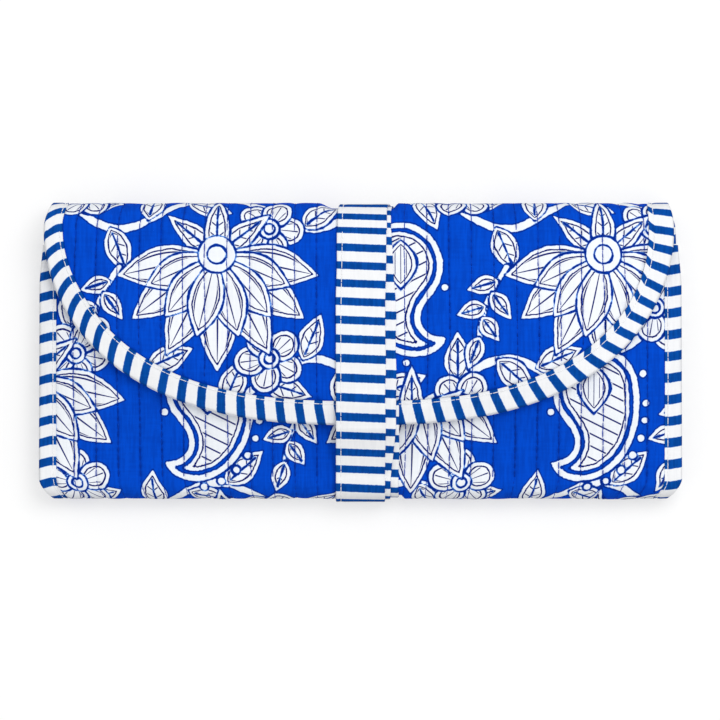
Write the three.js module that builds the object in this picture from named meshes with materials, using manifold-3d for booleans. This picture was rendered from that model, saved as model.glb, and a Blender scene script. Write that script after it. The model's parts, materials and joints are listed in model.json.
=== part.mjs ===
// Quilted jewelry roll, folded in three and tied shut. Millimetres, Z up, resting on its back.
// X runs along the roll, +Y points to the top fold, the flap faces up.
import * as THREE from "three";
import { mergeVertices } from "three/addons/utils/BufferGeometryUtils.js";
import Module from "manifold-3d";

const wasm = await Module();
wasm.setup();

// Closed roll
const WIDTH = 254;
const HEIGHT = 118;
const HALF = WIDTH / 2;
const CLEAR = 0.3;

// Quilt: printed cover, batting and lining, stitched together in rows
const COVER = 1.0;
const BATTING = 2.5;
const LINING = 0.7;
const QUILT = COVER + BATTING + LINING + 2 * CLEAR;
const ROW_PITCH = 8.7;
const ROW_DIP = 0.5;
const CRUSHED_BATTING = 0.6;

// Folds: inner radii of the two bends, and how much the roll narrows at them
const TOP_FOLD_RADIUS = 6.2;
const BOTTOM_FOLD_RADIUS = 3.6;
const FOLD_NARROWING = 0.038;

// The soft panels bulge up between the folds, and fall away at the sides
const BULGE = 8;
const BULGE_SQUARENESS = 8;

// Front panel and flap, measured from the middle of the top fold
const FRONT_SETBACK = 5.5;
const FRONT_DROP = 3.6;
const FLAP_LENGTH = 76.6;
const FLAP_SHOULDER = 2.6;
const FLAP_INSET = 2.3;
const FLAP_REST = 1.5;

// Binding folded round every edge, narrower at the roll's sides
const BINDING = 9.5;
const SIDE_BINDING = 7;
const BINDING_PLY = 0.7;
const BINDING_SEAT = 0.35;
const EDGE_RAMP = 1.4;

// Tie: three turns of folded cloth, pressed into the quilt
const TIE_WIDTH = 19.4;
const TIE_PLY = 0.5;
const TIE_GAP = 0.42;
const TIE_SHIFT = [5.4, 4.2, 0];
const TIE_TAIL = 60;
const TIE_SEAM = 9;
const TIE_STEP = 6.5;
const TIE_RISE = 4;
const PINCH_RAMP = 6;
const PINCH_FLAP = 0.3;
const PINCH_TOP = 2.1;
const TIE_PITCH = TIE_PLY + TIE_GAP;
const TIE_STACK = CLEAR + 3 * TIE_PLY + 2 * TIE_GAP;
const PINCH_BACK = TIE_STACK + 0.1;
const PINCH_BOTTOM = (PINCH_FLAP + PINCH_BACK) / 2;
const PINCH_LEFT = Math.min(...TIE_SHIFT) - TIE_WIDTH / 2 - 1;
const PINCH_RIGHT = Math.max(...TIE_SHIFT) + TIE_WIDTH / 2 + 1;

// Zip across the flap's lining
const ZIP_SETBACK = 18;
const ZIP_MARGIN = 4;
const ZIP_SLIT = 0.45;
const COIL_WIDTH = 1.4;
const COIL_HEIGHT = 1.2;
const TAPE_WIDTH = 3;
const TAPE_PLY = 0.5;
const ZIP_REST = 78;
const SLIDER_LENGTH = 8;
const SLIDER_PLATE = 0.7;
const PULL_LENGTH = 17;
const PULL_WIDTH = 4.6;

// Pockets and ring bar
const POCKET_PLY = 0.6;
const BAG_PLY = 0.35;
const BAG_DEPTH = 30;
const BAG_MARGIN = 46;
const BACK_POCKET_SETBACK = 14;
const FRONT_POCKET_SETBACK = 38;
const POCKET_FOOT = 6;
const BAR_RADIUS = 3.6;
const BAR_LENGTH = 150;
const TAB_LENGTH = 14;
const TAB_WIDTH = 5;
const TAB_PLY = 1;
const STUD_RADIUS = 1.3;
const SNAP_RADIUS = 2.8;
const SNAP_PLATE = 0.7;

// Fold centres; the tie's outermost turn makes the bottom edge of the roll
const TOP_Y = HEIGHT / 2 - TOP_FOLD_RADIUS - QUILT;
const TOP_Z = QUILT + TOP_FOLD_RADIUS;
const BOTTOM_Y = -HEIGHT / 2 + BOTTOM_FOLD_RADIUS + QUILT - PINCH_BOTTOM + TIE_STACK;
const BOTTOM_Z = QUILT + BOTTOM_FOLD_RADIUS;
const FRONT_TOP = TOP_Y - FRONT_SETBACK;
const FLAP_TIP = TOP_Y - FLAP_LENGTH;
const ZIP_Y = TOP_Y - ZIP_SETBACK;
const CUT = CLEAR / 2;
const FOLD_END = Math.PI / 2 - 0.025;

const vec = (x, y, z) => new THREE.Vector3(x, y, z);
const { lerp, clamp, smoothstep } = THREE.MathUtils;

// Heights of the lining side of the front and the flap, before the bulge
const frontBase = (y) => QUILT + 2 * BOTTOM_FOLD_RADIUS
  - FRONT_DROP * (y - BOTTOM_Y) / (FRONT_TOP - BOTTOM_Y);
const flapTipBase = frontBase(FLAP_TIP) + QUILT + FLAP_REST;
const flapBase = (y) => lerp(flapTipBase, QUILT + 2 * TOP_FOLD_RADIUS, (y - FLAP_TIP) / (TOP_Y - FLAP_TIP));

/** Height that the filling adds under the front and the flap. */
function bulge(x, y) {
  const middle = (TOP_Y + BOTTOM_Y) / 2;
  const u = clamp((y - middle) / ((TOP_Y - BOTTOM_Y) / 2), -1, 1);
  const side = Math.min(Math.abs(x) / HALF, 1);
  return BULGE * (1 - u * u) ** 2 * (1 - side ** BULGE_SQUARENESS);
}

// Places on the mat: x along the roll, y or turn angle along the mat, n outward from the lining
const onBack = (x, y, n) => vec(x, y, QUILT - n);
const onFront = (x, y, n) => vec(x, y, frontBase(y) + n + bulge(x, y));
const onFlap = (x, y, n) => vec(x, y, flapBase(y) + n + bulge(x, y));
const narrowed = (x, turn) => x * (1 - FOLD_NARROWING * Math.cos(turn) ** 2 * (x / HALF) ** 2);
const towardsFlap = (x, turn) => FLAP_INSET * smoothstep(turn, 0, Math.PI / 2) * (x / HALF) ** 7;
const onTopFold = (x, turn, n) => vec(
  narrowed(x, turn) - towardsFlap(x, turn),
  TOP_Y + (TOP_FOLD_RADIUS + n) * Math.cos(turn),
  TOP_Z + (TOP_FOLD_RADIUS + n) * Math.sin(turn),
);
const onBottomFold = (x, turn, n) => vec(
  narrowed(x, turn),
  BOTTOM_Y - (BOTTOM_FOLD_RADIUS + n) * Math.cos(turn),
  BOTTOM_Z + (BOTTOM_FOLD_RADIUS + n) * Math.sin(turn),
);

/** How deep the tie presses in at a turn angle of a fold: back, middle of the fold, front. */
function foldPinch(turn, middle) {
  const ease = Math.sin(turn) ** 2;
  return turn < 0 ? lerp(middle, PINCH_BACK, ease) : lerp(middle, PINCH_FLAP, ease);
}
const topPinch = (turn) => foldPinch(turn, PINCH_TOP);
const bottomPinch = (turn) => foldPinch(turn, PINCH_BOTTOM);

/** Share of the pinch at x: full under the tie, none beyond its ramps. */
const pinchShare = (x) => Math.min(
  clamp((x - PINCH_LEFT + PINCH_RAMP) / PINCH_RAMP, 0, 1),
  clamp((PINCH_RIGHT + PINCH_RAMP - x) / PINCH_RAMP, 0, 1),
);

/** Share of the squeeze that the binding gives the quilt at x. */
const edgeShare = (x) => clamp((Math.abs(x) - EDGE_START) / EDGE_RAMP, 0, 1);

/** One closed solid through matching rings; a ring is two chains of points that run the same way. */
function loft(rings) {
  const [first, second] = rings[0].map((chain) => chain.length);
  const count = first + second;
  const points = rings.flatMap(([a, b]) => [...a, ...[...b].reverse()]);
  const index = [];
  for (let r = 0; r + 1 < rings.length; r += 1) {
    for (let i = 0; i < count; i += 1) {
      const a = r * count + i;
      const b = r * count + ((i + 1) % count);
      // The same diagonal on both chains keeps neighbouring plies parallel
      if (i < first) index.push(a, b, b + count, a, b + count, a + count);
      else index.push(a, b, a + count, b, b + count, a + count);
    }
  }
  const cap = (start, reversed) => {
    let i = 0;
    let j = count - 1;
    while (i < first - 1 || j > first) {
      const nextA = i < first - 1 ? points[start + i + 1].distanceTo(points[start + j]) : Infinity;
      const nextB = j > first ? points[start + i].distanceTo(points[start + j - 1]) : Infinity;
      const triangle = nextA <= nextB ? [i, i + 1, j] : [i, j - 1, j];
      if (nextA <= nextB) i += 1;
      else j -= 1;
      if (reversed) triangle.reverse();
      index.push(...triangle.map((corner) => start + corner));
    }
  };
  cap(0, true);
  cap((rings.length - 1) * count, false);

  let volume = 0;
  for (let i = 0; i < index.length; i += 3) {
    const [a, b, c] = [points[index[i]], points[index[i + 1]], points[index[i + 2]]];
    volume += a.dot(vec(0, 0, 0).crossVectors(b, c));
  }
  if (volume < 0) index.reverse();

  const geometry = new THREE.BufferGeometry();
  geometry.setAttribute("position", new THREE.Float32BufferAttribute(points.flatMap((p) => p.toArray()), 3));
  geometry.setIndex(index);
  return geometry;
}

/** Loft of a section of two chains (x, n) that may change along the mat; place puts a point on the mat. */
const sweep = (stations, sectionAt, place) => loft(
  stations.map((s) => sectionAt(s).map((chain) => chain.map(([x, n]) => place(x, s, n)))),
);

const steps = (from, to, size) => {
  const count = Math.max(1, Math.ceil(Math.abs(to - from) / size));
  return Array.from({ length: count + 1 }, (_, i) => lerp(from, to, i / count));
};
const sorted = (list) => [...new Set(list.map((v) => Number(v.toFixed(4))))].sort((a, b) => a - b);

// Points across the mat where its section changes
const PLY_END = HALF - BINDING_PLY - CLEAR;
const EDGE_START = HALF - SIDE_BINDING - CLEAR - EDGE_RAMP;
const breaks = [
  -PLY_END, -HALF + SIDE_BINDING / 2, -EDGE_START - EDGE_RAMP, -EDGE_START,
  PLY_END, HALF - SIDE_BINDING / 2, EDGE_START + EDGE_RAMP, EDGE_START,
  PINCH_LEFT - PINCH_RAMP, PINCH_LEFT, PINCH_RIGHT, PINCH_RIGHT + PINCH_RAMP,
];
const across = sorted([
  ...breaks,
  ...[0.45, 0.7, 0.82, 0.89].flatMap((share) => [-share * HALF, share * HALF]),
]);
const folded = sorted(breaks);
const rowCount = Math.floor(EDGE_START / ROW_PITCH);
const seams = steps(-rowCount * ROW_PITCH, rowCount * ROW_PITCH, ROW_PITCH * 1.001)
  .filter((x) => Math.abs(x) < EDGE_START - 1);
const crowns = seams.slice(1).map((x, i) => (x + seams[i]) / 2);
const isSeam = (x) => seams.some((seam) => Math.abs(seam - x) < 1e-3);
const rows = sorted([...breaks, ...seams, ...crowns]);
const flatRows = sorted([...breaks, ...seams, ...crowns.flatMap((x) => [x - 2, x + 2])]);

/** Level n of the mat at x: its level in the free quilt, pinched by the tie and squeezed by the binding. */
function level(free, x, pinch, edge) {
  const crush = Math.min(pinch, BATTING - CRUSHED_BATTING);
  const above = free > LINING + CLEAR + BATTING - 0.01;
  const pressed = free - pinchShare(x) * (above ? pinch : pinch - crush);
  const margin = BINDING_PLY + CLEAR;
  return lerp(pressed, margin + free * (QUILT - 2 * margin) / QUILT, edge);
}

/** Outline of one ply between two free levels; a quilted ply dips at its rows of stitching. */
function plyOutline(low, high, top, pinch, edgeAt, under = across) {
  const upper = top.map((x) => {
    const dip = isSeam(x) ? ROW_DIP * (1 - pinchShare(x)) * (1 - edgeAt(x)) : 0;
    return [x, level(high, x, pinch, edgeAt(x)) - (top === under ? 0 : dip)];
  });
  const lower = under.map((x) => [x, level(low, x, pinch, edgeAt(x))]);
  return [upper, lower];
}

const PLIES = {
  lining: [0, LINING],
  batting: [LINING + CLEAR, LINING + CLEAR + BATTING],
  cover: [QUILT - COVER, QUILT],
};
const ZIP_SLOT = ZIP_SLIT + COIL_WIDTH + TAPE_WIDTH + 2 * CLEAR;

const MATERIALS = {
  print: new THREE.MeshStandardMaterial({ color: 0x3f78c8, roughness: 0.9 }),
  stripe: new THREE.MeshStandardMaterial({ color: 0x8fb0d8, roughness: 0.9 }),
  tie: new THREE.MeshStandardMaterial({ color: 0xa9c1e0, roughness: 0.9 }),
  batting: new THREE.MeshStandardMaterial({ color: 0xf2f0ea, roughness: 1 }),
  lining: new THREE.MeshStandardMaterial({ color: 0xf4f6fa, roughness: 0.9 }),
  tape: new THREE.MeshStandardMaterial({ color: 0xe8ecf4, roughness: 0.9 }),
  nylon: new THREE.MeshStandardMaterial({ color: 0xf6f8fc, roughness: 0.5 }),
  metal: new THREE.MeshStandardMaterial({ color: 0xb8bcc2, metalness: 1, roughness: 0.3 }),
};
const group = new THREE.Group();
group.name = "jewelry_roll";

function piece(name, geometry, material) {
  geometry.computeVertexNormals();
  const mesh = new THREE.Mesh(geometry, MATERIALS[material]);
  mesh.name = name;
  group.add(mesh);
}

function toManifold(geometry) {
  const bare = new THREE.BufferGeometry();
  bare.setAttribute("position", geometry.getAttribute("position").clone());
  if (geometry.index) bare.setIndex(geometry.index.clone());
  const merged = mergeVertices(bare, 1e-5);
  return new wasm.Manifold(new wasm.Mesh({
    numProp: 3,
    vertProperties: new Float32Array(merged.getAttribute("position").array),
    triVerts: new Uint32Array(merged.index.array),
  }));
}

function fromManifold(solid) {
  const mesh = solid.getMesh();
  const geometry = new THREE.BufferGeometry();
  geometry.setAttribute("position", new THREE.BufferAttribute(new Float32Array(mesh.vertProperties), 3));
  geometry.setIndex(Array.from(mesh.triVerts));
  return geometry;
}

// Flap outline from the fold round its tip: half an ellipse with fuller shoulders
const flapTop = TOP_Y - CUT;
const flapA = HALF - FLAP_INSET;
const flapB = flapTop - FLAP_TIP;
const fuller = (cosine) => Math.sign(cosine) * Math.abs(cosine) ** (2 / FLAP_SHOULDER);
const flapHalf = (y) => flapA * fuller(Math.sqrt(1 - ((flapTop - y) / flapB) ** 2));

const turnAt = (x) => 2 * Math.PI - Math.acos(Math.sign(x) * Math.abs(x / flapA) ** (FLAP_SHOULDER / 2));
const edgeTurns = sorted([
  ...steps(Math.PI, 2 * Math.PI, Math.PI / 36),
  ...breaks.filter((x) => Math.abs(x) < HALF / 2).map(turnAt),
]);

/** The flap's outline, its edge moved in by an inset. */
const flapOutline = (inset) => edgeTurns.map((t) => new THREE.Vector2(
  (flapA - inset) * fuller(Math.cos(t)),
  flapTop + (flapB - inset) * Math.sin(t),
));

/** Part of a slab that lies inside the flap's outline. */
function insideFlap(slab, inset) {
  const prism = new THREE.ExtrudeGeometry(new THREE.Shape(flapOutline(inset)), {
    depth: HEIGHT,
    bevelEnabled: false,
    steps: 1,
  });
  return fromManifold(toManifold(slab).intersect(toManifold(prism)));
}

// Mat: the three panels and the two folds, ply by ply
const none = () => 0;
const STEP = 12;
const frontEdgeStart = FRONT_TOP - BINDING - CLEAR;
const frontStations = sorted([
  ...steps(BOTTOM_Y + CUT, frontEdgeStart - EDGE_RAMP, STEP),
  frontEdgeStart,
  FRONT_TOP - BINDING_PLY - CLEAR,
]);
const frontEdge = (y) => (x) => Math.max(edgeShare(x), y > frontEdgeStart - 0.01 ? 1 : 0);
const flapStations = steps(FLAP_TIP - 1, TOP_Y - CUT, STEP);
const turns = steps(-FOLD_END, FOLD_END, Math.PI / 6);

for (const [ply, [low, high]] of Object.entries(PLIES)) {
  const material = ply === "cover" ? "print" : ply;
  const top = ply === "cover" ? rows : across;
  const backTop = ply === "cover" ? flatRows : across;
  const foldTop = ply === "cover" ? rows : folded;

  piece(`back_${ply}`, sweep(
    [BOTTOM_Y + CUT, TOP_Y - CUT],
    () => plyOutline(low, high, backTop, PINCH_BACK, edgeShare),
    onBack,
  ), material);
  piece(`front_${ply}`, sweep(
    frontStations,
    (y) => plyOutline(low, high, top, PINCH_FLAP, frontEdge(y)),
    onFront,
  ), material);
  piece(`top_fold_${ply}`, sweep(
    turns,
    (turn) => plyOutline(low, high, foldTop, topPinch(turn), edgeShare, folded),
    onTopFold,
  ), material);
  piece(`bottom_fold_${ply}`, sweep(
    turns,
    (turn) => plyOutline(low, high, foldTop, bottomPinch(turn), edgeShare, folded),
    onBottomFold,
  ), material);
}

const flapPlyInset = BINDING_PLY + CLEAR;
const flapPly = (low, high, top, stations) => {
  const lowAt = typeof low === "function" ? low : () => low;
  const slab = sweep(stations, (y) => plyOutline(lowAt(y), high, top, PINCH_FLAP, none), onFlap);
  return insideFlap(slab, flapPlyInset);
};
piece("flap_cover", flapPly(...PLIES.cover, rows, flapStations), "print");

// Behind the zip the batting and the pocket cloth stand back, so the slider can pass
const sliderBack = LINING / 2 + COIL_HEIGHT / 2 + CLEAR + SLIDER_PLATE;
const slotStations = [-ZIP_SLOT - 1, -ZIP_SLOT, ZIP_SLOT, ZIP_SLOT + 1].map((d) => ZIP_Y + d);
const inSlot = (y) => Math.abs(y - ZIP_Y) < ZIP_SLOT + 0.5;
const bagLow = (y) => (inSlot(y) ? sliderBack + CLEAR : LINING + CLEAR);
const battingLow = (y) => bagLow(y) + BAG_PLY + CLEAR;
const slottedStations = sorted([
  ...steps(FLAP_TIP - 1, slotStations[0], STEP),
  ...slotStations,
  ...steps(slotStations[3], TOP_Y - CUT, STEP),
]);
piece("flap_batting", flapPly(battingLow, PLIES.batting[1], across, slottedStations), "batting");
piece("flap_lining_lower", flapPly(
  ...PLIES.lining,
  across,
  steps(FLAP_TIP - 1, ZIP_Y - ZIP_SLOT, STEP),
), "lining");
piece("flap_lining_upper", flapPly(
  ...PLIES.lining,
  across,
  steps(ZIP_Y + ZIP_SLOT, TOP_Y - CUT, STEP),
), "lining");

/** Loft along x of a section of two chains (y, n) on the flap. */
const alongFlap = (xs, section) => sweep(xs, () => section, (y, x, n) => onFlap(x, y, n));
const bagHalf = HALF - BAG_MARGIN;
const bagXs = across.filter((x) => Math.abs(x) < bagHalf);
const bagYs = sorted([...steps(ZIP_Y - BAG_DEPTH, slotStations[0], STEP), ...slotStations]);
piece("flap_pocket_cloth", alongFlap([-bagHalf, ...bagXs, bagHalf], [
  bagYs.map((y) => [y, bagLow(y)]),
  bagYs.map((y) => [y, bagLow(y) + BAG_PLY]),
]), "lining");

// Bindings: a channel of cloth over each edge
/** Channel section as two chains (distance in from the edge, level n), outer faces at the given levels. */
function channel(bottom, top, width) {
  const outer = [
    ...[width, width / 2, BINDING_PLY / 2].map((d) => [d, top]),
    [0, top - BINDING_PLY / 2],
    [0, bottom + BINDING_PLY / 2],
    ...[BINDING_PLY / 2, width / 2, width].map((d) => [d, bottom]),
  ];
  const inner = [
    ...[width, width / 2, BINDING_PLY].map((d) => [d, top - BINDING_PLY]),
    ...[BINDING_PLY, width / 2, width].map((d) => [d, bottom + BINDING_PLY]),
  ];
  return [outer, inner];
}
for (const [side, sign] of [["left", -1], ["right", 1]]) {
  const section = () => channel(0, QUILT, SIDE_BINDING)
    .map((chain) => chain.map(([d, n]) => [sign * (HALF - d), n]));
  const backEnds = [BOTTOM_Y + CUT, TOP_Y - CUT];
  const frontEnds = sorted([...frontStations.slice(0, -1), FRONT_TOP]);
  piece(`back_binding_${side}`, sweep(backEnds, section, onBack), "stripe");
  piece(`front_binding_${side}`, sweep(frontEnds, section, onFront), "stripe");
  piece(`top_fold_binding_${side}`, sweep(turns, section, onTopFold), "stripe");
  piece(`bottom_fold_binding_${side}`, sweep(turns, section, onBottomFold), "stripe");
}

const topEnd = HALF - SIDE_BINDING - CLEAR;
const topXs = across.filter((x) => Math.abs(x) < topEnd - 0.01);
piece("front_binding_top", sweep(
  [-topEnd, ...topXs, topEnd],
  () => channel(0, QUILT, BINDING),
  (d, x, n) => onFront(x, FRONT_TOP - d, n),
), "stripe");

const edgePoints = edgeTurns.map((t) => {
  const x = flapA * fuller(Math.cos(t));
  const steepness = FLAP_SHOULDER * Math.abs(x / flapA) ** (FLAP_SHOULDER - 1) / flapA;
  const inward = new THREE.Vector2(-Math.sign(x) * steepness, -2 * Math.sin(t) / flapB).normalize();
  return { x, y: flapTop + flapB * Math.sin(t), nx: inward.x, ny: inward.y };
});
piece("flap_binding", sweep(
  edgePoints,
  () => channel(-BINDING_PLY - BINDING_SEAT, QUILT + BINDING_PLY + BINDING_SEAT, BINDING),
  (d, e, n) => onFlap(e.x + e.nx * d, e.y + e.ny * d, n - (n > QUILT ? PINCH_FLAP * pinchShare(e.x) : 0)),
), "stripe");

/** Rectangle as two chains. */
const rectangle = (a1, a2, n1, n2) => [[[a1, n1], [a2, n1]], [[a1, n2], [a2, n2]]];

// Tie: its end is sewn on the flap's tip, then it winds round and round the roll
const strap = (turn) => {
  const left = TIE_SHIFT[turn] - TIE_WIDTH / 2;
  const right = TIE_SHIFT[turn] + TIE_WIDTH / 2;
  return (low) => rectangle(left, right, low, low + TIE_PLY);
};
const seat = (layer) => CLEAR + layer * TIE_PITCH;

const bindingTop = BINDING_PLY + BINDING_SEAT;
const flapFace = (y) => flapBase(y) + QUILT - PINCH_FLAP
  + bindingTop * (1 - smoothstep(y, FLAP_TIP + BINDING, FLAP_TIP + BINDING + TIE_RISE));
const frontTop = (y) => frontBase(y) + QUILT - PINCH_FLAP;
const dropEnd = BOTTOM_Y + 1;
const dropStart = FLAP_TIP - 1;
const dropTop = flapFace(FLAP_TIP) + 0.2 - frontTop(FLAP_TIP);
/** Height under the tie on the front of the roll, without the bulge. */
const tieBed = (y) => (y >= dropStart
  ? flapFace(Math.max(y, FLAP_TIP))
  : frontTop(y) + dropTop * clamp((y - dropEnd) / (dropStart - dropEnd), 0, 1));
const seamTop = FLAP_TIP + TIE_SEAM;
/** Layer that a turn lies on: above the sewn end it is one layer lower. */
const layerAt = (turn, y) => turn - 1 + smoothstep(-y, -seamTop - CLEAR - TIE_STEP, -seamTop - CLEAR);

const strandStart = [seamTop, TOP_Y - CUT, TOP_Y - CUT];
const TIE_FALL_STEP = STEP / 2.5;
const tieNames = ["inner", "middle", "outer"];
for (let turn = 0; turn < 3; turn += 1) {
  const outline = strap(turn);
  const front = sorted([
    ...steps(BOTTOM_Y + CUT, dropStart, TIE_FALL_STEP),
    ...steps(dropStart, strandStart[turn], TIE_FALL_STEP),
  ]);
  piece(`tie_front_${tieNames[turn]}`, sweep(
    front,
    (y) => outline(tieBed(y) + seat(turn === 0 ? 0 : layerAt(turn, y))),
    (x, y, z) => vec(x, y, z + bulge(0, y)),
  ), "tie");
  piece(`tie_bottom_${tieNames[turn]}`, sweep(
    turns,
    (t) => outline(QUILT - bottomPinch(t) + seat(turn)),
    onBottomFold,
  ), "tie");
  const backEnd = turn === 2 ? BOTTOM_Y + CUT + TIE_TAIL : TOP_Y - CUT;
  piece(turn === 2 ? "tie_tail" : `tie_back_${tieNames[turn]}`, sweep(
    [BOTTOM_Y + CUT, backEnd],
    () => outline(QUILT - PINCH_BACK + seat(turn)),
    onBack,
  ), "tie");
  if (turn < 2) {
    const next = strap(turn + 1);
    const here = strap(turn);
    piece(`tie_top_${tieNames[turn]}`, sweep(turns, (t) => {
      const low = QUILT - topPinch(t) + seat(turn);
      const share = (t + FOLD_END) / (2 * FOLD_END);
      const there = next(low);
      return here(low).map((chain, c) => chain.map(([x, n], i) => [lerp(x, there[c][i][0], share), n]));
    }, onTopFold), "tie");
  }
}

// Zip: tapes and coils run from binding to binding, the slider's post runs in the slit between the coils
const zipHalf = flapHalf(ZIP_Y - ZIP_SLOT) - BINDING - ZIP_MARGIN;
const zipXs = [-zipHalf, ...across.filter((x) => Math.abs(x) < zipHalf - 1), zipHalf];
const coilLow = LINING / 2 - COIL_HEIGHT / 2;
const tapeLow = LINING / 2 - TAPE_PLY / 2;
for (const [half, sign] of [["lower", -1], ["upper", 1]]) {
  const coilOut = ZIP_SLIT + COIL_WIDTH;
  const coil = [ZIP_SLIT, coilOut].map((d) => ZIP_Y + sign * d);
  const tape = [coilOut + CLEAR, coilOut + CLEAR + TAPE_WIDTH].map((d) => ZIP_Y + sign * d);
  piece(`zip_coil_${half}`, alongFlap(zipXs, rectangle(...coil, coilLow, coilLow + COIL_HEIGHT)), "nylon");
  piece(`zip_tape_${half}`, alongFlap(zipXs, rectangle(...tape, tapeLow, tapeLow + TAPE_PLY)), "tape");
}

/** Solid block between two corners (x, y, n), placed flat on the flap at the zip. */
function zipBlock(x1, x2, y1, y2, n1, n2) {
  return sweep(
    [x1, x2],
    () => rectangle(y1, y2, n1, n2),
    (y, x, n) => vec(x, y, onFlap(ZIP_REST, y, n).z),
  );
}
const union = (parts) => fromManifold(wasm.Manifold.union(parts.map(toManifold)));
const plateHalf = ZIP_SLIT + COIL_WIDTH + 0.8;
const frontPlate = coilLow - CLEAR;
const backPlate = coilLow + COIL_HEIGHT + CLEAR;
const sliderEnds = [ZIP_REST - SLIDER_LENGTH / 2, ZIP_REST + SLIDER_LENGTH / 2];
const bailTop = frontPlate - SLIDER_PLATE;
const post = ZIP_SLIT - CLEAR / 2 - 0.05;
const bailLeg = 0.7;
const bailRoom = 1.1;
const bailHalf = 0.6;
const bailEnds = [ZIP_REST - 2.2, ZIP_REST + 2.2];
const bailLegs = [[bailEnds[0], bailEnds[0] + bailLeg], [bailEnds[1] - bailLeg, bailEnds[1]]];
const bailLow = bailTop - bailRoom;
piece("zip_slider", union([
  zipBlock(...sliderEnds, ZIP_Y - plateHalf, ZIP_Y + plateHalf, bailTop, frontPlate),
  zipBlock(...sliderEnds, ZIP_Y - plateHalf, ZIP_Y + plateHalf, backPlate, backPlate + SLIDER_PLATE),
  zipBlock(ZIP_REST - 2, ZIP_REST + 2, ZIP_Y - post, ZIP_Y + post, bailTop + 0.1, backPlate + 0.1),
  ...bailLegs.map((leg) => zipBlock(...leg, ZIP_Y - bailHalf, ZIP_Y + bailHalf, bailLow, bailTop + 0.1)),
  zipBlock(...bailEnds, ZIP_Y - bailHalf, ZIP_Y + bailHalf, bailLow - 0.6, bailLow),
]), "metal");

// Pull: its end bar turns in the bail, its eye is long enough to swing over the bail's corner
const barIn = bailLegs[0][1] + 0.5;
const pullBar = 0.8;
const pullTop = bailTop - 0.25;
const pullPly = 0.55;
const pullBlock = zipBlock(
  barIn + pullBar - PULL_LENGTH,
  barIn + pullBar,
  ZIP_Y - PULL_WIDTH / 2,
  ZIP_Y + PULL_WIDTH / 2,
  pullTop - pullPly,
  pullTop,
);
const pullEye = zipBlock(
  bailEnds[0] - 2 * CLEAR,
  barIn,
  ZIP_Y - bailHalf - CLEAR,
  ZIP_Y + bailHalf + CLEAR,
  pullTop - 1,
  pullTop + 1,
);
piece("zip_pull", fromManifold(toManifold(pullBlock).subtract(toManifold(pullEye))), "metal");

// Slip pockets: one cloth on the front's lining, one on the back's
const pocketHalf = HALF - SIDE_BINDING - CLEAR - 0.2;
const pocketXs = [-pocketHalf, ...across.filter((x) => Math.abs(x) < pocketHalf - 0.01), pocketHalf];
const pocketOutline = (pinch) => {
  const free = (x) => -CLEAR + level(0, x, pinch, 0);
  return [pocketXs.map((x) => [x, free(x)]), pocketXs.map((x) => [x, free(x) - POCKET_PLY])];
};
piece("back_slip_pocket", sweep(
  [BOTTOM_Y + POCKET_FOOT, TOP_Y - BACK_POCKET_SETBACK],
  () => pocketOutline(PINCH_BACK),
  onBack,
), "lining");
piece("front_slip_pocket", sweep(
  frontStations.filter((y) => y > BOTTOM_Y + POCKET_FOOT - 5 && y < TOP_Y - FRONT_POCKET_SETBACK),
  () => pocketOutline(PINCH_FLAP),
  onFront,
), "lining");

// Ring bar along the top fold: sewn at its left end, snapped down at its right end
const barY = TOP_Y - 1.4;
const bulgeIn = PINCH_BACK - (BATTING - CRUSHED_BATTING);
const barZ = QUILT + bulgeIn + CLEAR + BAR_RADIUS;
const barLow = barZ - TAB_PLY / 2;
const box = (x1, x2, y1, y2, z1, z2) => {
  const geometry = new THREE.BoxGeometry(x2 - x1, y2 - y1, z2 - z1);
  return geometry.translate((x1 + x2) / 2, (y1 + y2) / 2, (z1 + z2) / 2);
};
const barShape = new THREE.CapsuleGeometry(BAR_RADIUS, BAR_LENGTH - 2 * BAR_RADIUS, 5, 16)
  .rotateZ(Math.PI / 2);
const barTongue = box(
  BAR_LENGTH / 2 - 3,
  BAR_LENGTH / 2 + TAB_LENGTH,
  -TAB_WIDTH / 2,
  TAB_WIDTH / 2,
  -TAB_PLY / 2,
  TAB_PLY / 2,
);
piece("ring_bar", union([barShape, barTongue]).translate(0, barY, barZ), "lining");

const snapX = BAR_LENGTH / 2 + TAB_LENGTH - SNAP_RADIUS - 0.8;
const disc = (radius, low, high) => new THREE.CylinderGeometry(radius, radius, high - low, 24)
  .rotateX(Math.PI / 2)
  .translate(snapX, barY, (low + high) / 2);
const tongueTop = barZ + TAB_PLY / 2 + 0.05;
piece("snap_cap", disc(SNAP_RADIUS, tongueTop, tongueTop + SNAP_PLATE), "metal");
const socketTop = barLow - 0.05;
const socketLow = socketTop - 1.6;
piece("snap_socket", fromManifold(
  toManifold(disc(SNAP_RADIUS - 0.3, socketLow, socketTop))
    .subtract(toManifold(disc(STUD_RADIUS + CLEAR, socketLow - 1, socketTop - 0.4))),
), "metal");
const studBase = QUILT + 0.35;
piece("snap_stud", union([
  disc(SNAP_RADIUS, studBase, studBase + SNAP_PLATE),
  disc(STUD_RADIUS, studBase + SNAP_PLATE - 0.1, socketTop - 0.4 - CLEAR),
]), "metal");

const tabEnd = -BAR_LENGTH / 2 - CLEAR;
const tabLow = QUILT + 0.35;
piece("ring_bar_tab", union([
  box(tabEnd - TAB_LENGTH, tabEnd, barY - TAB_WIDTH / 2, barY + TAB_WIDTH / 2, tabLow, tabLow + TAB_PLY),
  box(tabEnd - TAB_PLY, tabEnd, barY - TAB_WIDTH / 2, barY + TAB_WIDTH / 2, tabLow, barZ + BAR_RADIUS / 2),
]), "lining");

export default group;
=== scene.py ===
"""Quilted jewelry roll, folded in three and tied shut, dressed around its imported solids."""
import json
import math

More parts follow.
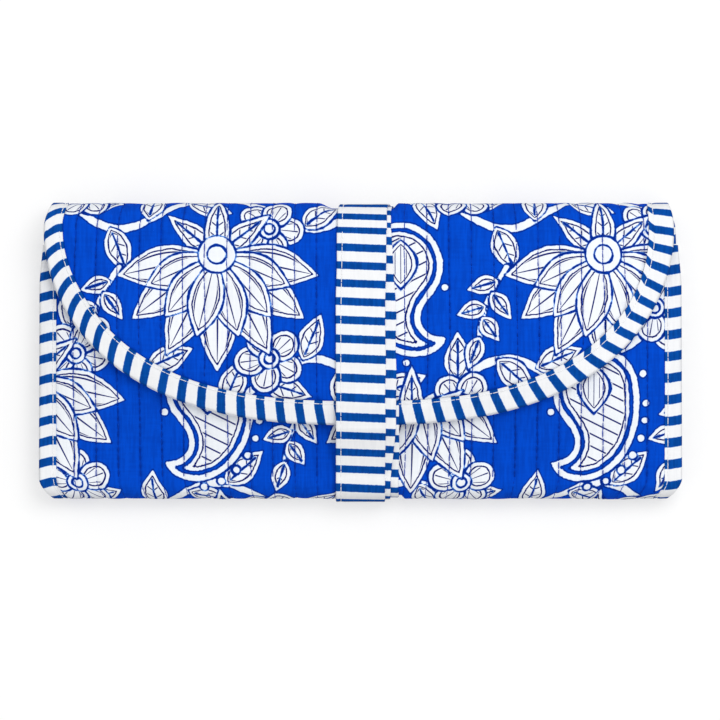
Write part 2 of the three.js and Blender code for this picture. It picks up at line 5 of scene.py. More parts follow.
import bmesh
import bpy
import numpy as np
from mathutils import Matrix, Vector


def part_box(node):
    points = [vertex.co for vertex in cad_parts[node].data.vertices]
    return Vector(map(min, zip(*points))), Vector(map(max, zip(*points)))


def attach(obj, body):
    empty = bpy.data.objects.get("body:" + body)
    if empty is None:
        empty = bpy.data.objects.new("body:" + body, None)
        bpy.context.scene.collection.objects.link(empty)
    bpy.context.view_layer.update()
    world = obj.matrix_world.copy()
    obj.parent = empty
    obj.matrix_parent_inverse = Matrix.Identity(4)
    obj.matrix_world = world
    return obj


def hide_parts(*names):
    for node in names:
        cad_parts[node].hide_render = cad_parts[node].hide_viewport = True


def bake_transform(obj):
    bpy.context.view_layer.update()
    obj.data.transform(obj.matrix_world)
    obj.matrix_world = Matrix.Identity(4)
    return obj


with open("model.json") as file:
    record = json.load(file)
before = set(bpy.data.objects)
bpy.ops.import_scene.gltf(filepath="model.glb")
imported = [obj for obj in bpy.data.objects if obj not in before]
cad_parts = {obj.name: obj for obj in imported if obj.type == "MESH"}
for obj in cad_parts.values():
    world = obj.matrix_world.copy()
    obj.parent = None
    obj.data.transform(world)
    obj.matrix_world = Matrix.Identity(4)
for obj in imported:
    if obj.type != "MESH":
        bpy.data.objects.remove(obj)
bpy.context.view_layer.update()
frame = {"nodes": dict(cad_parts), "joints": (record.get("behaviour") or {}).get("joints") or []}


# Folded mat
# One quilted cotton mat is folded in three round two soft bends and swells between them. These functions
# give any place on it in millimetres: x along the roll, y or a turn angle along the mat, n out of the lining.
MM = 0.001
joint_at = {joint["name"]: np.array(joint["pos_m"]) / MM for joint in frame["joints"] if "pos_m" in joint}
TOP_Y, TOP_Z = joint_at["flap_fold"][1:]
BOTTOM_Y, BOTTOM_Z = joint_at["front_fold"][1:]
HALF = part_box("back_binding_right")[1].x / MM
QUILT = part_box("back_binding_right")[1].z / MM
FRONT_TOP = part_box("front_binding_top")[1].y / MM
FLAP_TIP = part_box("flap_binding")[0].y / MM
FLAP_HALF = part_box("flap_binding")[1].x / MM
FLAP_DEPTH = TOP_Y - FLAP_TIP
FLAP_SHOULDER = 2.6
FLAP_SKEW = 1.3
INSET_POWER = 7
FRONT_DROP = 3.6
FLAP_REST = 1.5
BULGE = 8.0
BULGE_SQUARENESS = 8
FOLD_NARROWING = 0.038
TOP_NARROWING = 0.0126
TOP_NARROWING_REACH = 23.0
RIM_START = 0.6
RIM_REST = 0.5
TIE_HOLD = 45.0
FLAT_TURN = math.pi / 2
TOP_ARC = math.pi * TOP_Z
BOTTOM_ARC = math.pi * BOTTOM_Z


def ease(share):
    """Smooth step from 0 to 1."""
    share = np.clip(share, 0, 1)
    return share * share * (3 - 2 * share)


def points(x, y, z):
    """Places as one array whose last axis is x, y, z."""
    return np.stack(np.broadcast_arrays(x, y, z), axis=-1)


def bulge(x, y):
    """Height that the filling adds under the front and the flap."""
    along = np.clip((y - (TOP_Y + BOTTOM_Y) / 2) / ((TOP_Y - BOTTOM_Y) / 2), -1, 1)
    side = np.minimum(np.abs(x) / HALF, 1)
    return BULGE * (1 - along ** 2) ** 2 * (1 - side ** BULGE_SQUARENESS)


def front_base(y):
    return QUILT + 2 * (BOTTOM_Z - QUILT) - FRONT_DROP * (y - BOTTOM_Y) / (FRONT_TOP - BOTTOM_Y)


def flap_base(y):
    tip = front_base(FLAP_TIP) + QUILT + FLAP_REST
    top = QUILT + 2 * (TOP_Z - QUILT)
    return tip + (top - tip) * (y - FLAP_TIP) / FLAP_DEPTH


def flap_half(x):
    """Half width of the flap, which is sewn a little narrower on the right."""
    return np.where(x < 0, FLAP_HALF, FLAP_HALF - FLAP_SKEW)


def flap_sag(x, y):
    """How far the flap's rim sinks towards the front, beside the tie that holds it down."""
    down = (TOP_Y - y) / FLAP_DEPTH
    outwards = (np.abs(x) / flap_half(x)) ** FLAP_SHOULDER + down ** 2
    room = flap_base(y) - front_base(y) - QUILT - RIM_REST
    return room * ease((outwards - RIM_START) / (1 - RIM_START)) * ease(2 * down) * ease(np.abs(x) / TIE_HOLD)


def narrowed(x, share):
    return x * (1 - share * (x / HALF) ** 2)


def near_top(x, y):
    """The sides draw in a little before the top fold."""
    return narrowed(x, TOP_NARROWING * ease(1 - (TOP_Y - y) / TOP_NARROWING_REACH))


def on_back(x, y, n):
    return points(near_top(x, y), y, np.maximum(QUILT - n, 0))


def on_front(x, y, n):
    return points(near_top(x, y), y, front_base(y) + n + bulge(x, y))


def on_flap(x, y, n):
    return points(x, y, flap_base(y) + n + bulge(x, y) - flap_sag(x, y))


def on_top_fold(x, turn, n):
    start = np.where(turn < 0, TOP_NARROWING, 0)
    inwards = narrowed(x, start + (FOLD_NARROWING - start) * np.cos(turn) ** 2)
    to_flap = (HALF - flap_half(x)) * ease(turn / FLAT_TURN) * (x / HALF) ** INSET_POWER
    reach = TOP_Z - QUILT + n
    return points(inwards - to_flap, TOP_Y + reach * np.cos(turn), TOP_Z + reach * np.sin(turn))


def on_bottom_fold(x, turn, n):
    inwards = narrowed(x, FOLD_NARROWING * np.cos(turn) ** 2)
    reach = BOTTOM_Z - QUILT + n
    return points(inwards, BOTTOM_Y - reach * np.cos(turn), BOTTOM_Z + reach * np.sin(turn))


# Printed cotton
# The outside is plain-woven white cotton, block printed in blue so that white lotus flowers, paisleys, sprigs
# and a leafy vine stand out of the ground, with fine blue lines inside them. The cloth is slightly slubby.
TILE_U = 152.0
TILE_V = 138.0
LINE = 0.42
SPINE_STEPS = 34
FAR_OUT = -9.0
NO_VEIN = 0.5
LEAF_LEAN = 0.95
VINE_LEAVES = 10
VINE_LEAF = (19.5, 5.1)
BLOSSOM = 12.0
SPRIG = 31.0
LOTUS = 46.0
PAISLEY = 41.0


def leaf_shape(along, across, length, half_width, fullness=0.8):
    """How far inside a pointed leaf a place lies, in millimetres; negative outside it."""
    share = np.clip(along / length, 0, 1)
    return half_width * np.sin(np.pi * share ** fullness) - np.hypot(across, along - share * length)


def block_print(u, v):
    """Three measures of a place on the flat cloth.

    They are how far it lies inside the white, how far inside its own figure, and a count whose whole numbers
    are veins.
    """
    white = np.full(u.shape, FAR_OUT)
    rim = np.full(u.shape, FAR_OUT)
    veins = np.full(u.shape, NO_VEIN)

    def local(at, turn):
        du = (u - at[0] + TILE_U / 2) % TILE_U - TILE_U / 2
        dv = (v - at[1] + TILE_V / 2) % TILE_V - TILE_V / 2
        return du * math.cos(turn) + dv * math.sin(turn), dv * math.cos(turn) - du * math.sin(turn)

    def lay(shape, count=NO_VEIN, own_rim=None):
        white[:] = np.maximum(np.minimum(white, -shape - 2 * LINE), shape)
        covered = shape > -LINE
        rim[:] = np.where(covered, shape if own_rim is None else own_rim, rim)
        veins[:] = np.where(covered, count, veins)

    def cut(shape):
        white[:] = np.minimum(white, -shape)

    def leaf(at, turn, length, half_width, fullness=0.8):
        along, across = local(at, turn)
        vein_count = (along - 0.8 * np.abs(across)) / 4.4 + NO_VEIN
        lay(leaf_shape(along, across, length, half_width, fullness), vein_count)
        beyond = np.maximum(np.maximum(along - 0.8 * length, 0.12 * length - along), 0)
        cut(LINE - np.hypot(across, beyond))

    def petal(at, turn, length, half_width, fullness):
        """Pointed petal whose veins run together at its tip."""
        along, across = local(at, turn)
        half = np.maximum(half_width * np.sin(np.pi * np.clip(along / length, 0, 1) ** fullness), 0.6)
        lay(leaf_shape(along, across, length, half_width, fullness), 1.6 * across / half)

    def sprig(at, turn, size):
        """Curved stem with leaves on both sides and one at its end."""
        along, across = local(at, turn)
        bend = 0.16 * size * np.sin(2.2 * along / size)
        beyond = np.maximum(np.maximum(along - size, -along), 0)
        lay(0.95 - np.hypot(across - bend, beyond), own_rim=FAR_OUT)
        leaves = ((0.2, 1, 0.4), (0.36, -1, 0.42), (0.55, 1, 0.38), (0.7, -1, 0.36), (0.95, 0, 0.42))
        for place, side, length in leaves:
            lift = 0.16 * size * math.sin(2.2 * place)
            way = turn + side * LEAF_LEAN + 0.1
            root = (at[0] + place * size * math.cos(turn) - lift * math.sin(turn),
                    at[1] + place * size * math.sin(turn) + lift * math.cos(turn))
            leaf(root, way, length * size, 0.115 * size, 0.75)

    def blossom(at, turn, size):
        for number in range(5):
            way = turn + number * math.tau / 5
            centre = (at[0] + 0.62 * size * math.cos(way), at[1] + 0.62 * size * math.sin(way))
            along, across = local(centre, way)
            fan = 3.2 * across / np.maximum(along + 0.7 * size, 1)
            lay(0.45 * size - np.hypot(along * 0.9, across), fan)
        ring = np.hypot(*local(at, 0))
        lay(0.3 * size - ring, own_rim=FAR_OUT)
        cut(LINE - np.abs(ring - 0.17 * size))

    def lotus(at, turn, size):
        for angle in (-128, 128, 180):
            leaf(at, turn + math.radians(angle), 0.55 * size, 0.1 * size, 0.7)
        fans = [(1.0, 0.17, (-78, 78, -53, 53, -27, 27, 0)), (0.74, 0.19, (-66, 66, -40, 40, -14, 14))]
        for reach, width, angles in fans:
            for angle in angles:
                length = size * reach * (1 - 0.0016 * abs(angle))
                petal(at, turn + math.radians(angle), length, width * size * reach, 1.15)
        ring = np.hypot(*local(at, 0))
        lay(0.15 * size - ring, own_rim=FAR_OUT)
        cut(LINE - np.abs(ring - 0.08 * size))

    def paisley(at, turn, size, hand):
        along, across = local(at, turn)
        across = across * hand
        shares = np.linspace(0, 1, SPINE_STEPS)
        heading = -0.4 + 2.5 * shares ** 1.7
        spine_a = np.cumsum(np.cos(heading)) * 1.15 * size / SPINE_STEPS
        spine_b = np.cumsum(np.sin(heading)) * 1.15 * size / SPINE_STEPS
        radii = 0.4 * size * (1 - shares) ** 0.8 + 0.5
        body = np.full(u.shape, -99.0)
        for a, b, radius in zip(spine_a, spine_b, radii):
            body = np.maximum(body, radius - np.hypot(along - a, across - b))
        lay(body, (along + 0.5 * across) / 4.8, body - 3.9)
        cut(np.minimum(body - 2.2, 3.9 - body))
        seed = leaf_shape(along + 0.22 * size, across, 0.5 * size, 0.17 * size, 0.9)
        cut(seed)
        white[:] = np.maximum(white, seed - 1.2)
        rim[:] = np.where(seed > 0, seed - 1.2, rim)
        veins[:] = np.where(seed > 0, across / 2.2, veins)
        for mark in range(1, SPINE_STEPS - 6, 3):
            for side in (-1, 1):
                way = heading[mark] + side * math.pi / 2
                a = spine_a[mark] + (radii[mark] + 3.2) * math.cos(way)
                b = spine_b[mark] + (radii[mark] + 3.2) * math.sin(way)
                if np.all(np.hypot(spine_a - a, spine_b - b) > radii + 2.6):
                    lay(1.3 - np.hypot(along - a, across - b), own_rim=FAR_OUT)

    for row, swing in ((4.0, 9.0), (73.0, -9.0)):
        wave = 2 * math.tau / TILE_U
        off = (v - row - swing * np.sin(wave * u) + TILE_V / 2) % TILE_V - TILE_V / 2
        lay(1.5 - np.abs(off) / np.hypot(1, swing * wave * np.cos(wave * u)), own_rim=FAR_OUT)
        for index in range(VINE_LEAVES):
            at_u = (index + 0.5) * TILE_U / VINE_LEAVES
            tangent = math.atan(swing * wave * math.cos(wave * at_u))
            side = 1 if index % 2 else -1
            leaf((at_u, row + swing * math.sin(wave * at_u)), tangent + side * LEAF_LEAN, *VINE_LEAF)
    for at, turn in (((40, 13), 0.2), ((116, -5), 0.5), ((40, 64), 0.9), ((116, 82), 0.1)):
        blossom(at, turn, BLOSSOM)
    for at in ((57, 97), (133, 28)):
        sprig(at, 1.8, SPRIG)
    lotus((20, 23), math.pi / 2, LOTUS)
    lotus((96, 92), math.pi / 2, LOTUS)
    paisley((92, 26), math.pi / 2, PAISLEY, 1)
    paisley((16, 95), math.pi / 2, PAISLEY, -1)
    return white, rim, veins


def srgb(red, green, blue):
    """Colour as a shader reads it, from the usual 0 to 255 values."""
    def linear(value):
        value /= 255
        return value / 12.92 if value < 0.04045 else ((value + 0.055) / 1.055) ** 2.4
    return linear(red), linear(green), linear(blue), 1.0


def add_node(tree, kind, inputs=(), **settings):
    """New shader node; an input is set to a value or joined to another node's output."""
    node = tree.nodes.new(kind)
    for setting, value in settings.items():
        setattr(node, setting, value)
    for key, value in dict(inputs).items():
        if isinstance(value, bpy.types.NodeSocket):
            tree.links.new(value, node.inputs[key])
        else:
            node.inputs[key].default_value = value
    return node


def reckon(tree, operation, *values):
    """Output of a math node."""
    return add_node(tree, "ShaderNodeMath", enumerate(values), operation=operation).outputs[0]


def measure_of(tree, name):
    """Output with a value that the mesh holds on its points."""
    return add_node(tree, "ShaderNodeAttribute", attribute_name=name).outputs["Fac"]


def ramp(tree, value, low, high):
    """Value mapped smoothly from low..high to 0..1."""
    return add_node(tree, "ShaderNodeMapRange", {"Value": value, "From Min": low, "From Max": high},
                    interpolation_type="SMOOTHSTEP").outputs[0]


def blend_colours(tree, share, first, second):
    node = add_node(tree, "ShaderNodeMix", {"Factor": share}, data_type="RGBA")
    for socket, colour in ((node.inputs[6], first), (node.inputs[7], second)):
        if isinstance(colour, bpy.types.NodeSocket):
            tree.links.new(colour, socket)
        else:
            socket.default_value = colour
    return node.outputs[2]


def noise(tree, scale, detail=2, place=None):
    """Output of a noise over the piece, or over places that are stretched."""
    if place is None:
        place = add_node(tree, "ShaderNodeTexCoord").outputs["Object"]
    inputs = {"Vector": place, "Scale": scale, "Detail": detail}
    return add_node(tree, "ShaderNodeTexNoise", inputs).outputs["Fac"]


WEAVE = 820.0
WEAVE_DEPTH = 0.00012
COTTON_SHEEN = 0.05
LONG_THREADS = (900.0, 80.0, 300.0)
CROSS_THREADS = (80.0, 900.0, 300.0)


def cotton_weave(tree):
    """Plain weave: height of the crossing threads, and thick and thin threads that shade the dye."""
    place = add_node(tree, "ShaderNodeTexCoord").outputs["Object"]
    wave = {"Vector": place, "Scale": WEAVE, "Distortion": 1.2}
    warp = add_node(tree, "ShaderNodeTexWave", wave, bands_direction="X").outputs["Fac"]
    weft = add_node(tree, "ShaderNodeTexWave", wave, bands_direction="Y").outputs["Fac"]
    height = reckon(tree, "ADD", reckon(tree, "MULTIPLY", warp, weft), noise(tree, 1500, 3))
    uneven = []
    for stretch in (LONG_THREADS, CROSS_THREADS):
        drawn = add_node(tree, "ShaderNodeMapping", {"Vector": place, "Scale": stretch}).outputs[0]
        uneven.append(noise(tree, 1, 3, drawn))
    slubs = ramp(tree, reckon(tree, "MULTIPLY_ADD", uneven[1], 0.4, uneven[0]), 0.5, 0.9)
    return height, slubs


def finish_cotton(tree, colour, height, roughness=0.9, bump=0.3):
    """Matt cotton surface with the weave in its light."""
    relief = add_node(tree, "ShaderNodeBump", {"Height": height, "Strength": bump, "Distance": WEAVE_DEPTH})
    surface = tree.nodes["Principled BSDF"]
    tree.links.new(colour, surface.inputs["Base Color"])
    tree.links.new(relief.outputs["Normal"], surface.inputs["Normal"])
    surface.inputs["Roughness"].default_value = roughness
    surface.inputs["Specular IOR Level"].default_value = COTTON_SHEEN


def new_material(name):
    material = bpy.data.materials.new(name)
    material.use_nodes = True
    return material, material.node_tree


GROUND_BLUE = srgb(0, 75, 205)
DEEP_BLUE = srgb(0, 66, 187)
EDGE_BLUE = srgb(0, 38, 138)
BLED_BLUE = srgb(105, 165, 243)
LINE_BLUE = srgb(2, 24, 110)
PRINT_WHITE = srgb(241, 245, 249)
SHADED_WHITE = srgb(235, 239, 245)
CONTOUR = 1.55
CONTOUR_LINE = (0.24, 0.38)
VEIN_LINE = (0.05, 0.095)
VEINED = (CONTOUR + 0.4, CONTOUR + 0.8)
EDGE_BAND = (-0.75, -0.3)
BLED_BAND = (-0.1, 0.03)
WHITE_BAND = (0.03, 0.16)

printed_cotton, tree = new_material("printed_cotton")
weave, slubs = cotton_weave(tree)
wavy = reckon(tree, "MULTIPLY_ADD", noise(tree, 230, 1), 0.9, -0.7)
wobble = reckon(tree, "MULTIPLY_ADD", noise(tree, 900), 0.5, wavy)
inside = reckon(tree, "ADD", measure_of(tree, "white"), wobble)
bled_share = ramp(tree, inside, *BLED_BAND)
white_share = ramp(tree, inside, *WHITE_BAND)
figure_rim = reckon(tree, "ADD", measure_of(tree, "rim"), wobble)
from_vein = reckon(tree, "PINGPONG", measure_of(tree, "veins"), 0.5)
near_vein = reckon(tree, "SUBTRACT", 1.0, ramp(tree, from_vein, *VEIN_LINE))
veining = reckon(tree, "MULTIPLY", near_vein, ramp(tree, figure_rim, *VEINED))
from_contour = reckon(tree, "ABSOLUTE", reckon(tree, "SUBTRACT", figure_rim, CONTOUR))
contour = reckon(tree, "SUBTRACT", 1.0, ramp(tree, from_contour, *CONTOUR_LINE))
fine_line = reckon(tree, "MAXIMUM", veining, contour)
dyed = blend_colours(tree, slubs, DEEP_BLUE, GROUND_BLUE)
edged = blend_colours(tree, ramp(tree, inside, *EDGE_BAND), dyed, EDGE_BLUE)
ground = blend_colours(tree, bled_share, edged, BLED_BLUE)
bare = blend_colours(tree, slubs, SHADED_WHITE, PRINT_WHITE)
figure = blend_colours(tree, fine_line, bare, LINE_BLUE)
finish_cotton(tree, blend_colours(tree, white_share, ground, figure), weave)

LINING_WHITE = srgb(241, 242, 241)
LINING_SHADE = srgb(234, 236, 237)
lining_cotton, tree = new_material("lining_cotton")
weave, slubs = cotton_weave(tree)
finish_cotton(tree, blend_colours(tree, slubs, LINING_SHADE, LINING_WHITE), weave)


# Quilted panels and folds
# Cover, batting and lining are sewn together in rows of running stitches, so the cover puffs between the
# rows. The tie presses a groove across the middle, and the bindings squeeze the edges.
BINDING = 9.5
SIDE_BINDING = 7.0
FLAP_END_LEFT = 7.6
FLAP_END_RIGHT = 10.0
FOLD_END_LEFT = 8.2
FOLD_END_RIGHT = 11.8
WIDTH_EASE = 40.0
ROW_PITCH = 8.7
ROW_DEPTH = 1.05
ROW_SHARPNESS = 0.45
ROW_WANDER = 0.6
WANDER_CELL = 31.0
STITCH_PITCH = 3.1
STITCH_DIP = 0.15
FOLD_FLATNESS = 0.6
TIE_FLATNESS = 0.75
PUFF = 0.12
PUCKER = 0.26
PUCKER_CELL = 4.3
SWELL = 0.2
SWELL_CELL = 9.0
LINING_DIP = 0.25
EDGE_SUNK = 0.95
EDGE_START = 1.2
EDGE_REACH = 3.0
PINCH_LEFT = -10.7
PINCH_RIGHT = 16.1
PINCH_RAMP = 6.0
BOTTOM_RAMP = 1.6
BOTTOM_LEFT = -6.6
TOP_RAMP = 2.6
TOP_RIGHT = 12.6
PINCH_BACK = 2.74
PINCH_BOTTOM = 1.52
PINCH_TOP = 2.1
PINCH_FLAP = 0.3
GATHER = 0.022
GATHER_REACH = 9.0
CRUSH = 1.9
CELLS = 4
FLAP_START = TOP_Y + TOP_ARC
INSET_EASE = 30.0


def rumple(u, v, cell, seed):
    """Smooth random field between -1 and 1 that changes over about one cell."""
    size = 97
    knots = np.random.default_rng(seed).uniform(-1, 1, (size, size))
    i, j = np.floor(u / cell).astype(int), np.floor(v / cell).astype(int)
    s, t = ease(u / cell - i), ease(v / cell - j)
    near = knots[i % size, j % size] * (1 - s) + knots[(i + 1) % size, j % size] * s
    far = knots[i % size, (j + 1) % size] * (1 - s) + knots[(i + 1) % size, (j + 1) % size] * s
    return near * (1 - t) + far * t


def lengths_along(*axes):
    """How far each place in a row lies from the first one, along the row."""
    steps = np.sqrt(sum(np.diff(axis) ** 2 for axis in axes))
    return np.concatenate([[0], np.cumsum(steps)])


edge_turn = np.linspace(math.pi, math.tau, 4001)
dense_x = np.sign(np.cos(edge_turn)) * np.abs(np.cos(edge_turn)) ** (2 / FLAP_SHOULDER)
dense_x = flap_half(dense_x) * dense_x
dense_y = TOP_Y + FLAP_DEPTH * np.sin(edge_turn)
dense_run = lengths_along(dense_x, dense_y)
edge_run = np.linspace(0, dense_run[-1], 261)
edge_x = np.interp(edge_run, dense_run, dense_x)
edge_y = np.interp(edge_run, dense_run, dense_y)


def fold_pinch(turn, middle):
    pressed = np.where(turn < 0, PINCH_BACK, PINCH_FLAP)
    return middle + (pressed - middle) * np.sin(turn) ** 2


def pinch_share(x, left=PINCH_LEFT, right=PINCH_RIGHT, left_ramp=PINCH_RAMP, right_ramp=PINCH_RAMP):
    """How far a place lies in the tie's groove, from 0 beside it to 1 under the tie."""
    return ease((x - left + left_ramp) / left_ramp) * ease((right + right_ramp - x) / right_ramp)


def bottom_press(x, turn):
    """The tie's own edge hides its groove at the bottom, where the cloth stays straight beside it."""
    flatness = np.sin(turn) ** 2
    left = BOTTOM_LEFT + (PINCH_LEFT - BOTTOM_LEFT) * flatness
    ramp = BOTTOM_RAMP + (PINCH_RAMP - BOTTOM_RAMP) * flatness
    return fold_pinch(turn, PINCH_BOTTOM) * pinch_share(x, left, PINCH_RIGHT, ramp, ramp)


def top_press(x, turn):
    """At the top the cloth comes up again close to the tie's right edge."""
    flatness = np.sin(turn) ** 2
    right = TOP_RIGHT + (PINCH_RIGHT - TOP_RIGHT) * flatness
    ramp = TOP_RAMP + (PINCH_RAMP - TOP_RAMP) * flatness
    return fold_pinch(turn, PINCH_TOP) * pinch_share(x, PINCH_LEFT, right, PINCH_RAMP, ramp)


def side_inside(x, s):
    """Distance in from the inner edge of the side bindings."""
    return HALF - SIDE_BINDING - np.abs(x) + 0 * s


def top_fold_inside(x, turn):
    wider = np.where(x < 0, FOLD_END_LEFT, FOLD_END_RIGHT) - SIDE_BINDING
    return side_inside(x, turn) - wider * ease(turn / math.pi + 0.5)


def front_inside(x, y):
    return np.minimum(side_inside(x, y), FRONT_TOP - BINDING - y)


def flap_binding_width(x, y):
    """The strip is sewn narrower at the flap's left end and wider at its right end."""
    end = np.where(x < 0, FLAP_END_LEFT, FLAP_END_RIGHT)
    return BINDING + (end - BINDING) * (1 - ease((TOP_Y - y) / WIDTH_EASE))


def flap_inside(x, y):
    """Distance in from the inner edge of the flap's binding."""
    nearest = np.full(np.broadcast(x, y).shape, np.inf)
    for at_x, at_y in zip(edge_x[::2], edge_y[::2]):
        nearest = np.minimum(nearest, np.hypot(x - at_x, y - at_y))
    down = np.clip((TOP_Y - y) / FLAP_DEPTH, 0, 1)
    outside = np.abs(x) > flap_half(x) * (1 - down ** 2) ** (1 / FLAP_SHOULDER)
    return np.where(outside, -nearest, nearest) - flap_binding_width(x, y)


def flat(s):
    return 0 * s


def round_share(turn):
    return np.cos(turn) ** 2


# Each panel: its place, its length along the flat mat, how far the tie presses it, its edge, its roundness
PANELS = {
    "back": (on_back, lambda y: y, lambda x, y: PINCH_BACK * pinch_share(x), side_inside, flat),
    "top_fold": (on_top_fold, lambda turn: TOP_Y + (turn + FLAT_TURN) * TOP_Z,
                 top_press, top_fold_inside, round_share),
    "flap": (on_flap, lambda y: FLAP_START + TOP_Y - y,
             lambda x, y: PINCH_FLAP * pinch_share(x), flap_inside, flat),
    "bottom_fold": (on_bottom_fold, lambda turn: BOTTOM_Y - (turn + FLAT_TURN) * BOTTOM_Z,
                    bottom_press, side_inside, round_share),
    "front": (on_front, lambda y: BOTTOM_Y - BOTTOM_ARC - (y - BOTTOM_Y),
              lambda x, y: PINCH_FLAP * pinch_share(x), front_inside, flat),
}


def mat_x(panel, x, v):
    """Where a place across the flat cloth comes to lie: rows wander, and gather at the bottom fold."""
    if panel == "flap":
        inset = (HALF - flap_half(x)) * (x / HALF) ** INSET_POWER
        x = x - inset * (1 - ease((v - FLAP_START) / INSET_EASE))
    gather = GATHER * np.exp(-((v - BOTTOM_Y + BOTTOM_ARC / 2) / GATHER_REACH) ** 2) * (1 - (x / HALF) ** 2)
    return x * (1 - gather) + ROW_WANDER * (1 - (x / HALF) ** 4) * rumple(x, v, WANDER_CELL, 13)


def on_panel(panel, x, s, n):
    place, along = PANELS[panel][:2]
    return place(mat_x(panel, x, along(s)), s, n)


def row_valley(x):
    return 1 - np.abs(np.sin(math.pi * x / ROW_PITCH)) ** ROW_SHARPNESS


def edge_squeeze(inside):
    """How far a binding squeezes the quilt, by the distance in from the binding."""
    return ease((EDGE_START - inside) / EDGE_REACH)


def cover_level(panel, x, s):
    """Level of the printed side: puffed between the rows, pressed by the tie, squeezed by the bindings."""
    _, along, pressed, inside, roundness = PANELS[panel]
    v = along(s)
    at = mat_x(panel, x, v)
    valley = row_valley(x)
    stitched = 1 - STITCH_DIP + STITCH_DIP * np.cos(math.tau * v / STITCH_PITCH)
    rows = ROW_DEPTH * valley * stitched * (1 - FOLD_FLATNESS * roundness(s))
    puckers = PUCKER * rumple(x, v, PUCKER_CELL, 11) * (0.35 + valley) + SWELL * rumple(x, v, SWELL_CELL, 12)
    free = QUILT + PUFF - (1 - TIE_FLATNESS * pinch_share(at)) * (rows - puckers) - pressed(at, s)
    return free + (QUILT - EDGE_SUNK - free) * edge_squeeze(inside(at, s))


def lining_level(panel, x, s):
    """Level of the lining side, a little puffed too."""
    _, along, pressed, inside, _ = PANELS[panel]
    at = mat_x(panel, x, along(s))
    free = LINING_DIP * row_valley(x) - np.maximum(pressed(at, s) - CRUSH * pinch_share(at), 0)
    return free + (EDGE_SUNK - free) * edge_squeeze(inside(at, s))


def quads(grid):
    """Four-sided faces between the neighbours of a grid of point numbers."""
    corners = (grid[:-1, :-1], grid[:-1, 1:], grid[1:, 1:], grid[1:, :-1])
    return np.stack([corner.ravel() for corner in corners], axis=-1).tolist()


SHARP_EDGE = math.radians(72)


def solid_piece(name, places, faces, materials, face_material=None, **measures):
    """One mesh piece from places in millimetres; each measure becomes a value on its points."""
    mesh = bpy.data.meshes.new(name)
    mesh.from_pydata((places * MM).tolist(), [], faces)
    for material in materials:
        mesh.materials.append(material)
    if face_material is not None:
        mesh.polygons.foreach_set("material_index", face_material)
    for measure, values in measures.items():
        mesh.attributes.new(measure, "FLOAT", "POINT").data.foreach_set("value", values.astype(np.float32))
    mesh.shade_smooth()
    shell = bmesh.new()
    shell.from_mesh(mesh)
    bmesh.ops.recalc_face_normals(shell, faces=shell.faces)
    shell.to_mesh(mesh)
    shell.free()
    mesh.set_sharp_from_angle(angle=SHARP_EDGE)
    piece = bpy.data.objects.new(name, mesh)
    bpy.context.scene.collection.objects.link(piece)
    return piece


def quilt(name, panel, x, s, under):
    """Closed padded piece over a fine grid of places, with a coarser grid under it."""
    fine = on_panel(panel, x, s, cover_level(panel, x, s))
    xc, sc = x[::CELLS, ::CELLS], s[::CELLS, ::CELLS]
    coarse = on_panel(panel, xc, sc, under(panel, xc, sc))
    index = np.arange(x.size).reshape(x.shape)
    below = np.arange(xc.size).reshape(xc.shape) + index.size
    faces = quads(index)
    printed = len(faces)
    faces += quads(below[:, ::-1])
    rims = [(index[0], below[0]), (index[-1], below[-1])]
    rims += [(index[:, 0], below[:, 0]), (index[:, -1], below[:, -1])]
    for upper, lower in rims:
        for cell in range(len(lower) - 1):
            rim = upper[cell * CELLS:(cell + 1) * CELLS + 1].tolist()
            faces.append(rim + [int(lower[cell + 1]), int(lower[cell])])
    print_measures = block_print(x.ravel(), PANELS[panel][1](s).ravel())
    unprinted = np.zeros(xc.size)
    white, rim, veins = (np.concatenate([measure, unprinted]) for measure in print_measures)
    face_material = np.ones(len(faces), np.int32)
    face_material[:printed] = 0
    places = np.concatenate([fine.reshape(-1, 3), coarse.reshape(-1, 3)])
    cloths = [printed_cotton, lining_cotton]
    return solid_piece(name, places, faces, cloths, face_material, white=white, rim=rim, veins=veins)


COLUMNS_PER_ROW = 17
COLUMN = ROW_PITCH / COLUMNS_PER_ROW
MAT_COLUMNS = 122 * CELLS
FLAP_COLUMNS = 117 * CELLS
TUCK = HALF - MAT_COLUMNS * COLUMN / 2


def mat_grid(start, end, cells):
    """Grid of places between two stations of the mat, with the same columns on every panel."""
    across = (np.arange(MAT_COLUMNS + 1) - MAT_COLUMNS / 2) * COLUMN
    s, x = np.meshgrid(np.linspace(start, end, cells * CELLS + 1), across, indexing="ij")
    return x, s


# The flap keeps its lining apart from the padding, because the zip pocket lies between them
BAG_ROOM = 1.75
SLOT_ROOM = 2.95
SLOT_EDGE = 2.5
ZIP_Y = (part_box("zip_coil_lower")[1].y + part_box("zip_coil_upper")[0].y) / 2 / MM
SLOT_HALF = ZIP_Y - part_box("flap_lining_lower")[1].y / MM


def flap_bottom(x, inset):
    """Where the flap's rounded edge lies below a place along its top."""
    share = np.minimum(np.abs(x) / (flap_half(x) - inset), 1)
    return TOP_Y - (FLAP_DEPTH - inset) * np.sqrt(1 - share ** FLAP_SHOULDER)


def flap_grid(cells):
    """Grid of places on the flap: columns run straight down from the fold to the rounded edge."""
    x = (np.arange(FLAP_COLUMNS + 1) - FLAP_COLUMNS / 2) * COLUMN
    share = np.linspace(0, 1, cells * CELLS + 1)[:, None]
    s = TOP_Y + (flap_bottom(x, TUCK) - TOP_Y) * share
    return np.broadcast_to(x, s.shape), s


def under_padding(panel, x, y):
    """Level of the flap's padding above the zip pocket; it is the only panel that has one."""
    slot = ease((SLOT_HALF + SLOT_EDGE - np.abs(y - ZIP_Y)) / 2)
    return BAG_ROOM + (SLOT_ROOM - BAG_ROOM) * slot * (1 - edge_squeeze(flap_inside(x, y)))


